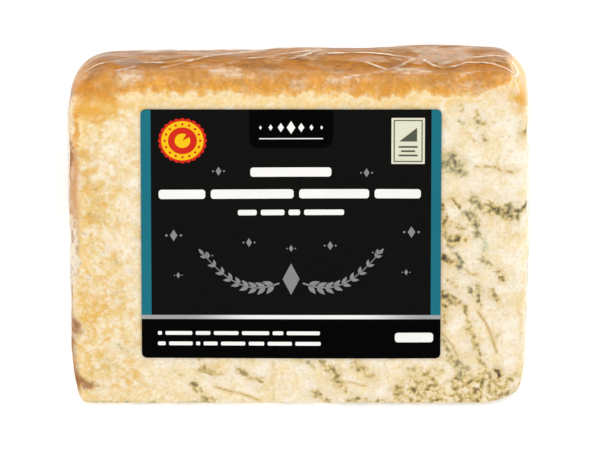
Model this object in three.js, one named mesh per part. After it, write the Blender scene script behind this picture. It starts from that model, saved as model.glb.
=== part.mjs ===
// A wedge of blue-veined cheese, cut from half the height of a tall wheel and sealed in clear film,
// with a printed label on its upper cut face. It lies on its lower cut face, the thin tip towards -Y,
// the curved rind towards +Y, the wheel's rinded end at -X and the plain cut end at +X.
// Millimetres, +Z up, origin at the centre of the underside's box.
import * as THREE from "three";
import { ImprovedNoise } from "three/addons/math/ImprovedNoise.js";

// The wheel and the cut.
const wheelRadius = 100.5;
const wedgeLength = 124;
const wedgeAngle = THREE.MathUtils.degToRad(40);
const halfAngle = wedgeAngle / 2;

// The wheel bulges a little from its end to its middle, where it was cut.
const wheelBulge = 1.2;

// Rounded edges. Each end has its rim's radius, and how much rounder the tip gets over what reach.
const edgeRound = 3;
const tipRound = 1.5;
const rindEnd = { rimRound: 11.5, tipLoss: 3.4, tipReach: 4.5 };
const cutEnd = { rimRound: 10, tipLoss: 2.6, tipReach: 13 };

// The label: its width, where it starts and ends along the face from the tip, and how it lies.
const labelWidth = 81.2;
const labelCentreX = -2.1;
const labelLow = 16.9;
const labelHigh = 90;
const labelCorner = 1.4;
const labelThickness = 0.4;
const labelGap = 0.35;

// How finely each stretch of the cross-section and of the length is divided.
const cornerSteps = 4;
const rindSteps = 30;
const faceSteps = 26;
const undersideSteps = 8;
const middleSteps = 33;
const endRings = 7;
const roundingShares = [0, 0.03, 0.1, 0.22, 0.42, 0.68];
const labelColumns = 22;
const labelRows = 18;
const labelCornerRows = 3;

// Unevenness of the surfaces: waves with a height, the lengths of a full wave along X and across it,
// and where they start, and crumb of two sizes.
const rindLumps = { height: 0.55, along: 130, across: 50, startAlong: 0.1, startAcross: 2.2 };
const rindRipples = { height: 0.33, along: 38, across: 45, startAlong: 1.9, startAcross: 1.6 };
const faceWave = { height: 0.3, along: 132, across: 107, startAlong: 0.8, startAcross: -0.5 };
const coarseCrumb = { height: 0.45, size: 18 };
const fineCrumb = { height: 0.27, size: 6 };

// The crumb dies away over this distance before it reaches the label.
const labelClearance = 3;

// A side's relief fades in between these cosines of the angle from that side's own direction.
const sideEdge = 0.8;
const sideWhole = 0.98;

// Folds of the film over the rind, each from one point to another as [x, distance down the rind
// from the face's edge], and pleats of the film on an end, as [y, z] from the tip's axis.
const foldHeight = 0.95;
const foldHalfWidth = 2.8;
const foldEndHeight = 0.25;
const foldRise = 6;
const rindFolds = [
  { from: [-44, 5], to: [-12, 16] },
  { from: [-24, 8], to: [10, 13] },
  { from: [8, 1], to: [31, 12] },
  { from: [31, 12], to: [39, 4] },
  { from: [39, 4], to: [57, 9] },
  { from: [-52, 24], to: [4, 30] },
  { from: [-8, 42], to: [52, 25] },
  { from: [-50, 52], to: [30, 58] },
];
const endPleats = [
  { from: [92, 20], to: [48, 8] },
  { from: [80, 50], to: [44, 14] },
  { from: [62, 46], to: [34, 10] },
  { from: [40, 28], to: [26, 6] },
];

const noise = new ImprovedNoise();

// An arc of the cross-section about a centre.
function arc(centre, radius, start, end) {
  return new THREE.EllipseCurve(centre.x, centre.y, radius, radius, start, end, false);
}

// The closed outline of one cross-section, in (y, z) from the tip's axis: a sector of the given
// radius with both cut faces moved in by inset, its two rind corners and its tip rounded.
function sectionOutline({ radius, inset, tip }) {
  const cornerHeight = inset + edgeRound;
  const cornerTurn = Math.asin(cornerHeight / (radius - edgeRound));
  const axis = new THREE.Vector2();
  const outFromAxis = (distance, turn) => new THREE.Vector2(distance, 0).rotateAround(axis, turn);
  const lowCorner = outFromAxis(radius - edgeRound, cornerTurn);
  const highCorner = outFromAxis(radius - edgeRound, wedgeAngle - cornerTurn);
  const tipCentre = outFromAxis((inset + tip) / Math.sin(halfAngle), halfAngle);
  const corners = {
    low: arc(lowCorner, edgeRound, -Math.PI / 2, cornerTurn),
    rind: arc(axis, radius, cornerTurn, wedgeAngle - cornerTurn),
    high: arc(highCorner, edgeRound, wedgeAngle - cornerTurn, wedgeAngle + Math.PI / 2),
    tip: arc(tipCentre, tip, wedgeAngle + Math.PI / 2, 1.5 * Math.PI),
  };
  const stretches = [
    [corners.low, cornerSteps],
    [corners.rind, rindSteps],
    [corners.high, cornerSteps],
    [new THREE.LineCurve(corners.high.getPoint(1), corners.tip.getPoint(0)), faceSteps],
    [corners.tip, cornerSteps],
    [new THREE.LineCurve(corners.tip.getPoint(1), corners.low.getPoint(0)), undersideSteps],
  ];
  return stretches.flatMap(([curve, steps]) => curve.getPoints(steps).slice(0, steps));
}

// How far a quarter-round edge of the given radius has cut in, at a distance from the end.
function roundingDepth(radius, distance) {
  const left = Math.max(0, radius - distance);
  return radius - Math.sqrt(radius * radius - left * left);
}

// The cross-sections from the rinded end to the cut end: each one's x and its outline's sizes.
function sectionStations() {
  const nearEnd = (end) => roundingShares.map((share) => share * end.rimRound);
  const middleStart = rindEnd.rimRound;
  const middleLength = wedgeLength - middleStart - cutEnd.rimRound;
  const distances = [
    ...nearEnd(rindEnd),
    ...Array.from({ length: middleSteps + 1 }, (_, i) => middleStart + (middleLength * i) / middleSteps),
    ...nearEnd(cutEnd).map((distance) => wedgeLength - distance).reverse(),
  ];
  const tipWear = (end, distance) => end.tipLoss * Math.max(0, 1 - distance / end.tipReach) ** 2;
  return distances.map((fromRindEnd) => {
    const fromCutEnd = wedgeLength - fromRindEnd;
    const fullRadius = wheelRadius - (wheelBulge * fromCutEnd) / wedgeLength;
    const rimLoss = roundingDepth(rindEnd.rimRound, fromRindEnd) + roundingDepth(cutEnd.rimRound, fromCutEnd);
    return {
      x: fromRindEnd - wedgeLength / 2,
      radius: fullRadius - rimLoss,
      inset: roundingDepth(edgeRound, fromRindEnd) + roundingDepth(edgeRound, fromCutEnd),
      tip: tipRound + tipWear(rindEnd, fromRindEnd) + tipWear(cutEnd, fromCutEnd),
    };
  });
}

// The wedge before its relief: cross-sections joined along X, each end closed by rings about its
// middle.
function smoothWedge() {
  const positions = [];
  const triangles = [];
  const count = cornerSteps * 3 + rindSteps + faceSteps + undersideSteps;
  const addRing = (x, outline) => {
    const first = positions.length / 3;
    outline.forEach((p) => positions.push(x, p.x, p.y));
    return first;
  };
  const joinRings = (a, b) => {
    for (let i = 0; i < count; i++) {
      const next = (i + 1) % count;
      triangles.push(a + i, a + next, b + next, a + i, b + next, b + i);
    }
  };
  const closeEnd = (x, outline, startRing, outward) => {
    const middle = outline.reduce((sum, p) => sum.add(p), new THREE.Vector2()).divideScalar(count);
    let ring = startRing;
    for (let k = 1; k < endRings; k++) {
      const inner = addRing(x, outline.map((p) => p.clone().lerp(middle, k / endRings)));
      joinRings(...(outward ? [ring, inner] : [inner, ring]));
      ring = inner;
    }
    const centre = addRing(x, [middle]);
    for (let i = 0; i < count; i++) {
      const next = (i + 1) % count;
      triangles.push(...(outward ? [ring + i, ring + next, centre] : [ring + next, ring + i, centre]));
    }
  };
  const sections = sectionStations().map((station) => ({ x: station.x, outline: sectionOutline(station) }));
  const rings = sections.map(({ x, outline }) => addRing(x, outline));
  rings.slice(1).forEach((ring, i) => joinRings(rings[i], ring));
  closeEnd(sections[0].x, sections[0].outline, rings[0], false);
  closeEnd(sections.at(-1).x, sections.at(-1).outline, rings.at(-1), true);
  const geometry = new THREE.BufferGeometry();
  geometry.setAttribute("position", new THREE.Float32BufferAttribute(positions, 3));
  geometry.setIndex(triangles);
  geometry.computeVertexNormals();
  return geometry;
}

// The height, at a point, of a ridge that runs from one point to another and tapers at both.
function ridge(point, { from, to }) {
  const start = new THREE.Vector2(...from);
  const along = new THREE.Vector2(...to).sub(start);
  const share = THREE.MathUtils.clamp(point.clone().sub(start).dot(along) / along.lengthSq(), 0, 1);
  const distance = start.clone().addScaledVector(along, share).distanceTo(point);
  const taper = Math.min(1, foldRise * Math.min(share, 1 - share) + foldEndHeight);
  return foldHeight * taper * Math.max(0, 1 - distance / foldHalfWidth);
}

// The highest of several ridges at a point.
function ridges(point, folds) {
  return Math.max(...folds.map((fold) => ridge(point, fold)));
}

// The height of a wave at x along a side and a distance across it.
function wave(form, x, across) {
  const alongTurn = (2 * Math.PI * x) / form.along + form.startAlong;
  const acrossTurn = (2 * Math.PI * across) / form.across + form.startAcross;
  return form.height * Math.sin(alongTurn) * Math.cos(acrossTurn);
}

// Crumbly relief of a cut surface.
function crumb(p) {
  const grain = ({ height, size }) => height * noise.noise(p.x / size, p.y / size, p.z / size);
  return grain(coarseCrumb) + grain(fineCrumb);
}

// How far inside the label's outline a point of the face is, from 0 well outside to 1 under it.
function underLabel(x, fromTip) {
  const outsideX = Math.abs(x - labelCentreX) - labelWidth / 2;
  const outsideY = Math.max(labelLow - fromTip, fromTip - labelHigh);
  return 1 - THREE.MathUtils.smoothstep(Math.max(outsideX, outsideY), 0, labelClearance);
}

// The relief of the wrapped wedge at a point of its smooth surface, measured along the normal.
function relief(p, normal) {
  const faceNormal = new THREE.Vector3(0, -Math.sin(wedgeAngle), Math.cos(wedgeAngle));
  const share = (cosine) => THREE.MathUtils.smoothstep(cosine, sideEdge, sideWhole);
  const fromTip = Math.hypot(p.y, p.z);
  const turn = Math.atan2(p.z, p.y);
  const down = (wedgeAngle - turn) * wheelRadius;
  const outOfRind = new THREE.Vector3(0, Math.cos(turn), Math.sin(turn));
  const onFace = share(normal.dot(faceNormal));
  const onRind = share(normal.dot(outOfRind));
  const onEnd = share(Math.abs(normal.x));
  const face = wave(faceWave, p.x, fromTip) + crumb(p) * (1 - underLabel(p.x, fromTip));
  const lumps = wave(rindLumps, p.x, down) + wave(rindRipples, p.x, down);
  const rind = lumps + ridges(new THREE.Vector2(p.x, down), rindFolds);
  const end = crumb(p) + ridges(new THREE.Vector2(p.y, p.z), endPleats);
  return onFace * face + onRind * rind + onEnd * end;
}

// The film-wrapped wedge as one closed surface with its folds, lumps and crumb.
function wrappedWedge() {
  const geometry = smoothWedge();
  const position = geometry.getAttribute("position");
  const normals = geometry.getAttribute("normal");
  for (let i = 0; i < position.count; i++) {
    const p = new THREE.Vector3().fromBufferAttribute(position, i);
    const normal = new THREE.Vector3().fromBufferAttribute(normals, i);
    p.addScaledVector(normal, relief(p, normal));
    position.setXYZ(i, p.x, p.y, Math.max(0, p.z));
  }
  geometry.computeVertexNormals();
  return geometry;
}

// A point of the upper cut face at x and a distance from the tip's axis, lifted off it.
function facePoint(x, fromTip, lift) {
  const height = wave(faceWave, x, fromTip) + lift;
  return new THREE.Vector3(
    x,
    fromTip * Math.cos(wedgeAngle) - height * Math.sin(wedgeAngle),
    fromTip * Math.sin(wedgeAngle) + height * Math.cos(wedgeAngle),
  );
}

// The rows of the label from its low edge to its high edge: each one's place and how far its ends
// draw in at the rounded corners.
function labelRowPlaces() {
  const corner = Array.from({ length: labelCornerRows }, (_, i) => {
    const turn = (Math.PI / 2) * (i / labelCornerRows);
    return { along: labelCorner * (1 - Math.cos(turn)), drawnIn: labelCorner * (1 - Math.sin(turn)) };
  });
  const straight = labelHigh - labelLow - 2 * labelCorner;
  return [
    ...corner.map(({ along, drawnIn }) => ({ fromTip: labelLow + along, drawnIn })),
    ...Array.from({ length: labelRows + 1 }, (_, i) => ({
      fromTip: labelLow + labelCorner + (straight * i) / labelRows,
      drawnIn: 0,
    })),
    ...corner.map(({ along, drawnIn }) => ({ fromTip: labelHigh - along, drawnIn })).reverse(),
  ];
}

// The label as a thin closed plate that follows the face's waviness.
function labelPlate() {
  const rows = labelRowPlaces();
  const across = labelColumns + 1;
  const positions = [];
  const triangles = [];
  [labelGap, labelGap + labelThickness].forEach((lift) => {
    rows.forEach(({ fromTip, drawnIn }) => {
      for (let i = 0; i < across; i++) {
        const x = labelCentreX + (labelWidth - 2 * drawnIn) * (i / labelColumns - 0.5);
        positions.push(...facePoint(x, fromTip, lift));
      }
    });
  });
  const layer = rows.length * across;
  const quad = (a, b, c, d) => triangles.push(a, b, c, a, c, d);
  for (let row = 0; row + 1 < rows.length; row++) {
    for (let i = 0; i < labelColumns; i++) {
      const a = row * across + i;
      quad(a, a + across, a + across + 1, a + 1);
      quad(layer + a, layer + a + 1, layer + a + across + 1, layer + a + across);
    }
    const left = row * across;
    const right = left + labelColumns;
    quad(left, left + layer, left + across + layer, left + across);
    quad(right, right + across, right + across + layer, right + layer);
  }
  for (let i = 0; i < labelColumns; i++) {
    const far = (rows.length - 1) * across + i;
    quad(i, i + 1, i + 1 + layer, i + layer);
    quad(far, far + layer, far + 1 + layer, far + 1);
  }
  const geometry = new THREE.BufferGeometry();
  geometry.setAttribute("position", new THREE.Float32BufferAttribute(positions, 3));
  geometry.setIndex(triangles);
  geometry.computeVertexNormals();
  return geometry;
}

const wedge = new THREE.Mesh(
  wrappedWedge(),
  new THREE.MeshStandardMaterial({ color: 0xf0d9ab, roughness: 0.35, metalness: 0 }),
);
wedge.name = "wrapped_wedge";

const label = new THREE.Mesh(
  labelPlate(),
  new THREE.MeshStandardMaterial({ color: 0x191917, roughness: 0.45, metalness: 0 }),
);
label.name = "label";

const packedWedge = new THREE.Group();
packedWedge.add(wedge, label);

// The box of both pieces sets the origin: the middle of its underside.
const box = new THREE.Box3().setFromObject(packedWedge);
const middle = box.getCenter(new THREE.Vector3());
packedWedge.position.set(-middle.x, -middle.y, -box.min.z);

export default packedWedge;
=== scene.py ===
"""A wedge of blue-veined cheese, sealed in tight clear film, with a printed label on its upper cut face.

The wedge lies on its lower cut face. Its thin tip points to -Y and its curved rind to +Y. The wheel's
rinded end is at -X and the plain cut end at +X. Forms are worked out in millimetres from the tip's
axis, and each finished mesh is put into the frame in metres.
"""

import logging
import math
from collections.abc import Iterable, Sequence
from dataclasses import dataclass, field
from enum import Enum
from typing import Any

import bpy
import numpy as np
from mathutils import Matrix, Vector


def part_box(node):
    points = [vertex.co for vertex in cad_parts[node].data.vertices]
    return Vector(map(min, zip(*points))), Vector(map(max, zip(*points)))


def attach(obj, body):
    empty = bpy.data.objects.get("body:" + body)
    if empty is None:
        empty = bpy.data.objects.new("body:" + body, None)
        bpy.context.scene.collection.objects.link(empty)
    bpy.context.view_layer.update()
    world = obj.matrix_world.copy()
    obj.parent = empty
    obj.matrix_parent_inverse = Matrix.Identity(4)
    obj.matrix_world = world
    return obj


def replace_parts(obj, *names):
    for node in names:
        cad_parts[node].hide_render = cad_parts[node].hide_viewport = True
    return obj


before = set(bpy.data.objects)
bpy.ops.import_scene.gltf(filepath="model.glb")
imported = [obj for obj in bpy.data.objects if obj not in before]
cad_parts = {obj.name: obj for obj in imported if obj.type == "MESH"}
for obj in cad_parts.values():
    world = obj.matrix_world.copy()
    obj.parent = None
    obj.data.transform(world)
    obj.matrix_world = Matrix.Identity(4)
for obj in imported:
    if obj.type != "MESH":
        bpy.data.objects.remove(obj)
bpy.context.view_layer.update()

logging.basicConfig(level=logging.INFO, format="%(message)s")
log = logging.getLogger("blue_cheese_wedge")

MM = 0.001
Array = np.ndarray
Point = tuple[float, float]
Route = tuple[Point, ...]
Socket = bpy.types.NodeSocket


# ---------------- numbers


def smoothstep(value: Array, low: float, high: float) -> Array:
    """Eases a value from 0 at low to 1 at high."""
    share = np.clip((value - low) / (high - low), 0, 1)
    return share * share * (3 - 2 * share)


def fade(value: Array, low: float, high: float) -> Array:
    """Eases a value from 1 at low to 0 at high."""
    return 1 - smoothstep(value, low, high)


def between(value: Array, low: float, risen: float, falling: float, high: float) -> Array:
    """Eases a value up from 0 at low to 1 at risen, and down again from falling to 0 at high."""
    return smoothstep(value, low, risen) * fade(value, falling, high)


def facing(share: Array) -> Array:
    """From 0 where a side turns away to 1 where it faces one way squarely, by its cosine."""
    return smoothstep(share, 0.8, 0.98)


def around(turns: Array) -> Array:
    """Points on a circle of radius 1, at angles, as rows of two."""
    return np.stack([np.cos(turns), np.sin(turns)], axis=1)


def polar(distance: float, turn: float) -> Array:
    """The point at a distance and an angle from the tip's axis, as (y, z)."""
    return np.array([distance * math.cos(turn), distance * math.sin(turn)])


def cut_in(radius: float, distance: float) -> float:
    """How far a quarter-round edge has cut in at a distance from its end."""
    left = min(radius, max(0.0, radius - distance))
    return radius - math.sqrt(radius * radius - left * left)


def route_distance(places: Array, route: Route) -> Array:
    """How far each place lies from a route of straight stretches.

    Args:
        places: Rows of two coordinates.
        route: The route's points, in the same coordinates.

    Returns:
        One distance a place.
    """
    best = np.full(len(places), np.inf)
    for start, end in zip(route, route[1:]):
        begin, way = np.array(start), np.subtract(end, start)
        share = np.clip((places - begin) @ way / max(way @ way, 1e-9), 0, 1)
        gap = places - begin - share[:, None] * way
        best = np.minimum(best, np.hypot(gap[:, 0], gap[:, 1]))
    return best


@dataclass(frozen=True)
class Spot:
    """A soft oval spot on a side: its middle along X and across, its half sizes and its strength."""

    x: float
    across: float
    half_x: float
    half_across: float
    strength: float

    def cover(self, x: Array, across: Array, ragged: Array | float, inner: float, outer: float) -> Array:
        """The spot's strength at each point, fading from inner to outer shares of its half sizes."""
        reach = np.hypot((x - self.x) / self.half_x, (across - self.across) / self.half_across) + ragged
        return self.strength * fade(reach, inner, outer)


class LatticeNoise:
    """Smooth seeded noise on a cubic lattice, between about -1 and 1."""

    TABLE = 512
    GAIN = 1.5
    OCTAVE_SHIFT = 31.7

    def __init__(self, seed: int) -> None:
        """Draws the lattice's directions.

        Args:
            seed: Which lattice to draw.
        """
        draw = np.random.default_rng(seed)
        self.order = draw.permutation(self.TABLE)
        ways = draw.normal(size=(self.TABLE, 3))
        self.ways = ways / np.linalg.norm(ways, axis=1, keepdims=True)

    def key(self, cell: Array) -> Array:
        """Which row of the table each cell of the lattice takes."""
        x, y, z = (cell % self.TABLE).T
        return self.order[(self.order[(self.order[x] + y) % self.TABLE] + z) % self.TABLE]

    def __call__(self, points: Array, size: float | Sequence[float]) -> Array:
        """The noise at points.

        Args:
            points: Rows of x, y and z.
            size: The lattice's step, or its step along each axis.

        Returns:
            One number a point.
        """
        place = points / np.asarray(size, float)
        cell = np.floor(place).astype(int)
        part = place - cell
        ease = part**3 * (part * (part * 6 - 15) + 10)
        total = np.zeros(len(points))
        for corner in np.ndindex(2, 2, 2):
            weight = np.prod(np.where(corner, ease, 1 - ease), axis=1)
            total += weight * ((part - corner) * self.ways[self.key(cell + corner)]).sum(axis=1)
        return total * self.GAIN

    def octaves(self, points: Array, size: float | Sequence[float], count: int = 3) -> Array:
        """Noise of a size with finer noise on it, each octave half as large and half as strong."""
        steps = np.asarray(size, float)
        return sum(0.5**k * self(points + self.OCTAVE_SHIFT * k, steps / 2**k) for k in range(count))

    def warp(self, points: Array, size: float, shift: float) -> Array:
        """Three unlike noises at each point, as rows that bend it aside."""
        return np.stack([self.octaves(points + shift * k, size) for k in range(3)], axis=1)


class CurdCells:
    """Space cut into uneven cells, as pressed curds are."""

    def __init__(self, seed: int) -> None:
        """Draws the cells' middles."""
        self.lattice = LatticeNoise(seed)
        self.shift = np.random.default_rng(seed).uniform(0.08, 0.92, size=(LatticeNoise.TABLE, 3))

    def seam_distance(self, points: Array, size: float) -> Array:
        """How far each point lies from the nearest seam between two cells.

        Args:
            points: Rows of x, y and z.
            size: About how wide a cell is.

        Returns:
            One distance a point, in the points' own unit.
        """
        place = points / size
        cell = np.floor(place).astype(int)
        nearest = np.full(len(points), np.inf)
        second = nearest.copy()
        for step in np.ndindex(3, 3, 3):
            other = cell + np.array(step) - 1
            distance = np.linalg.norm(place - other - self.shift[self.lattice.key(other)], axis=1)
            second = np.minimum(second, np.maximum(nearest, distance))
            nearest = np.minimum(nearest, distance)
        return (second - nearest) * size / 2


# ---------------- the wedge's form


@dataclass(frozen=True)
class Wave:
    """A wave over a side: its height and full lengths along X and across it, and where it starts."""

    height: float
    along: float
    across: float
    start_along: float
    start_across: float

    def at(self, x: Array, across: Array) -> Array:
        """The wave's height at x along a side and a distance across it."""
        rise = self.height * np.sin(2 * np.pi * x / self.along + self.start_along)
        return rise * np.cos(2 * np.pi * across / self.across + self.start_across)


FACE_WAVE = Wave(0.3, 132, 107, 0.8, -0.5)
RIND_LUMPS = Wave(0.55, 130, 50, 0.1, 2.2)
RIND_RIPPLES = Wave(0.33, 38, 45, 1.9, 1.6)


@dataclass(frozen=True)
class EndForm:
    """How one end is rounded: its rim's radius, and how much rounder the tip gets over what reach."""

    rim_round: float
    tip_loss: float
    tip_reach: float

    def tip_wear(self, distance: Array) -> Array:
        """What the tip's rounding gains at a distance from this end."""
        return self.tip_loss * np.maximum(0, 1 - distance / self.tip_reach) ** 2


@dataclass(frozen=True)
class Steps:
    """How finely a skin over the wedge is divided: points on each stretch, and the spacing along X."""

    corner: int
    rind: int
    face: int
    tip: int
    base: int
    spacing: float
    rings: int


@dataclass
class Skin:
    """A closed surface over the wedge, in millimetres from the tip's axis."""

    points: Array
    quads: Array
    triangles: Array
    radius: float
    angle: float

    def __post_init__(self) -> None:
        """Works out each point's normal, its place on the wheel and which side it lies on."""
        self.normals = self.vertex_normals()
        x, y, z = self.points.T
        self.x = x
        self.from_tip = np.hypot(y, z)
        self.turn = np.arctan2(z, y)
        self.down = (self.angle - self.turn) * self.radius
        self.below = self.down - np.maximum(0, self.radius - self.from_tip)
        self.outward = self.normals[:, 1] * np.cos(self.turn) + self.normals[:, 2] * np.sin(self.turn)
        face = np.array([0, -math.sin(self.angle), math.cos(self.angle)])
        self.on_face = facing(self.normals @ face)
        self.labelled = smoothstep(self.normals @ face, 0.0, 0.3)
        self.on_rind = facing(self.outward)
        self.on_rinded_end = facing(-self.normals[:, 0])
        self.on_cut_end = facing(self.normals[:, 0])

    def vertex_normals(self) -> Array:
        """The normal at each point, averaged from its faces by their areas.

        Returns:
            One unit normal a point.
        """
        normals = np.zeros_like(self.points)
        for faces in (self.quads, self.triangles):
            a, b, c, d = (self.points[faces[:, k]] for k in (0, 1, 2, -1))
            across = np.cross(c - a, d - b) if faces.shape[1] == 4 else np.cross(b - a, c - a)
            for k in range(faces.shape[1]):
                np.add.at(normals, faces[:, k], across)
        return normals / np.linalg.norm(normals, axis=1, keepdims=True)

    def raised(self, height: Array, floor: float) -> Array:
        """The skin's points moved out along their normals by a height each, but not below a floor."""
        moved = self.points + self.normals * height[:, None]
        return np.maximum(moved, (-np.inf, -np.inf, floor))


@dataclass(frozen=True)
class WedgeForm:
    """The wedge's driving sizes, in millimetres, and the smooth skin that follows from them."""

    radius: float = 100.5
    length: float = 124.0
    angle: float = math.radians(40)
    bulge: float = 1.2
    edge_round: float = 3.0
    tip_round: float = 1.5
    rind_end: EndForm = EndForm(11.5, 3.4, 4.5)
    cut_end: EndForm = EndForm(10.0, 2.6, 13.0)

    def outline(self, radius: float, inset: float, tip: float, steps: Steps) -> Array:
        """One cross-section's closed outline.

        Args:
            radius: The wheel's radius there.
            inset: How far both cut faces have moved in.
            tip: The radius of the rounded tip.
            steps: How finely to divide it.

        Returns:
            Rows of (y, z).
        """
        corner_turn = math.asin((inset + self.edge_round) / (radius - self.edge_round))
        high_turn, quarter = self.angle - corner_turn, math.pi / 2
        low_corner = polar(radius - self.edge_round, corner_turn)
        high_corner = polar(radius - self.edge_round, high_turn)
        tip_centre = polar((inset + tip) / math.sin(self.angle / 2), self.angle / 2)

        def arc(centre: Array, size: float, start: float, end: float, count: int) -> Array:
            """An arc's points, without its last one."""
            return centre + size * around(np.linspace(start, end, count, endpoint=False))

        def line(start: Array, end: Array, count: int) -> Array:
            """A straight stretch's points, without its last one."""
            return start + np.linspace(0, 1, count, endpoint=False)[:, None] * (end - start)

        face_start = high_corner + polar(self.edge_round, self.angle + quarter)
        face_end = tip_centre + polar(tip, self.angle + quarter)
        base_start, base_end = tip_centre - [0, tip], low_corner - [0, self.edge_round]
        return np.concatenate([
            arc(low_corner, self.edge_round, -quarter, corner_turn, steps.corner),
            arc(np.zeros(2), radius, corner_turn, high_turn, steps.rind),
            arc(high_corner, self.edge_round, high_turn, self.angle + quarter, steps.corner),
            line(face_start, face_end, steps.face),
            arc(tip_centre, tip, self.angle + quarter, 3 * quarter, steps.tip),
            line(base_start, base_end, steps.base),
        ])

    def inward(self, skin: Skin) -> Array:
        """How far each point lies in from the rinded edge of a cut face, up to the corner's round.

        Args:
            skin: The smooth skin.

        Returns:
            One distance a point.
        """
        limit = self.rind_end.rim_round
        to_rind = np.clip(limit - self.radius + skin.from_tip, 0, limit)
        to_end = np.clip(limit - skin.x - self.length / 2, 0, limit)
        return np.maximum(0, limit - np.hypot(to_rind, to_end))

    def distances(self, spacing: float) -> Array:
        """Where the cross-sections stand, from the rinded end, closer together on the rounded rims.

        Args:
            spacing: The usual distance between two cross-sections.

        Returns:
            Each cross-section's distance, from 0 to the wedge's length.
        """
        ends = []
        for end in (self.rind_end, self.cut_end):
            count = round(end.rim_round * math.pi / 2 / spacing)
            turns = np.linspace(0, math.pi / 2, count, endpoint=False)
            ends.append(end.rim_round * (1 - np.cos(turns)))
        start, stop = self.rind_end.rim_round, self.length - self.cut_end.rim_round
        middle = np.linspace(start, stop, round((stop - start) / spacing) + 1)
        return np.concatenate([ends[0], middle, self.length - ends[1][::-1]])

    def skin(self, steps: Steps) -> Skin:
        """The smooth closed skin of the wedge.

        Args:
            steps: How finely to divide it.

        Returns:
            The skin, before any relief.
        """
        rows, outlines = [], []
        for distance in self.distances(steps.spacing):
            other = self.length - distance
            rim = cut_in(self.rind_end.rim_round, distance) + cut_in(self.cut_end.rim_round, other)
            radius = self.radius - self.bulge * other / self.length - rim
            inset = cut_in(self.edge_round, distance) + cut_in(self.edge_round, other)
            wear = self.rind_end.tip_wear(distance) + self.cut_end.tip_wear(other)
            rows.append(distance - self.length / 2)
            outlines.append(self.outline(radius, inset, self.tip_round + wear, steps))
        count = len(outlines[0])
        start_rows, end_rows, middles = [], [], []
        for x, outline, made in ((rows[0], outlines[0], start_rows), (rows[-1], outlines[-1], end_rows)):
            centre = outline.mean(axis=0)
            middles.append([[x, *centre]])
            for k in range(1, steps.rings):
                made.append((x, outline + (centre - outline) * k / steps.rings))
        sheets = [*reversed(start_rows), *zip(rows, outlines), *end_rows]
        sections = [np.column_stack([np.full(count, x), outline]) for x, outline in sheets]
        points = np.concatenate([middles[0], *sections, middles[1]])
        ring = np.arange(count)
        following = np.roll(ring, -1)
        first = 1 + count * np.arange(len(sheets) - 1)[:, None]
        second = first + count
        quads = np.stack([first + ring, first + following, second + following, second + ring], axis=-1)
        last = 1 + count * (len(sheets) - 1)
        start_fan = np.column_stack([np.zeros(count, int), 1 + following, 1 + ring])
        end_fan = np.column_stack([last + ring, last + following, np.full(count, last + count)])
        triangles = np.concatenate([start_fan, end_fan])
        return Skin(points, quads.reshape(-1, 4), triangles, self.radius, self.angle)


FORM = WedgeForm()


@dataclass(frozen=True)
class LabelForm:
    """Where the label lies on the upper cut face, in millimetres from the tip's axis."""

    width: float = 81.2
    centre_x: float = -2.1
    low: float = 16.9
    high: float = 90.0
    corner: float = 1.4
    clearance: float = 3.0

    @property
    def height(self) -> float:
        """The label's height along the face."""
        return self.high - self.low

    def cover(self, x: Array, from_tip: Array) -> Array:
        """From 0 outside the label to 1 under it."""
        outside = np.maximum(self.low - from_tip, from_tip - self.high)
        return fade(np.maximum(np.abs(x - self.centre_x) - self.width / 2, outside), 0, self.clearance)

    def place(self, flat: Array, lift: float) -> Array:
        """Points of the face under the label's own coordinates.

        Args:
            flat: Rows of u, to the right of the label's middle, and v, up from its low edge.
            lift: How far off the face.

        Returns:
            Rows of x, y and z.
        """
        x, from_tip = self.centre_x + flat[:, 0], self.low + flat[:, 1]
        height = FACE_WAVE.at(x, from_tip) + lift
        y = from_tip * math.cos(FORM.angle) - height * math.sin(FORM.angle)
        z = from_tip * math.sin(FORM.angle) + height * math.cos(FORM.angle)
        return np.stack([x, y, z], axis=-1)


LABEL = LabelForm()


def tip_axis() -> Array:
    """Where the tip's axis and the wedge's middle lie in the frame, in millimetres.

    Returns:
        Where the form's own zero point lies, as x, y and z.
    """
    low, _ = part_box("wrapped_wedge")
    label_low, label_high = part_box("label")
    tip_gap = FORM.tip_round / math.tan(FORM.angle / 2) - FORM.tip_round
    label_x = (label_low.x + label_high.x) / 2 / MM
    return np.array([label_x - LABEL.centre_x, low.y / MM - tip_gap, 0.0])


AXIS = tip_axis()


def body_relief(skin: Skin) -> Array:
    """The broad unevenness that the cheese and its film share.

    Args:
        skin: The smooth skin.

    Returns:
        The relief's height at each point, in millimetres.
    """
    crumb = 0.45 * LatticeNoise(11)(skin.points, 18) + 0.27 * LatticeNoise(12)(skin.points, 6)
    bare = 1 - LABEL.cover(skin.x, skin.from_tip)
    face = FACE_WAVE.at(skin.x, skin.from_tip) + crumb * bare
    rind = RIND_LUMPS.at(skin.x, skin.down) + RIND_RIPPLES.at(skin.x, skin.down)
    ends = skin.on_rinded_end + skin.on_cut_end
    return skin.on_face * face + skin.on_rind * rind + ends * crumb


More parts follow.
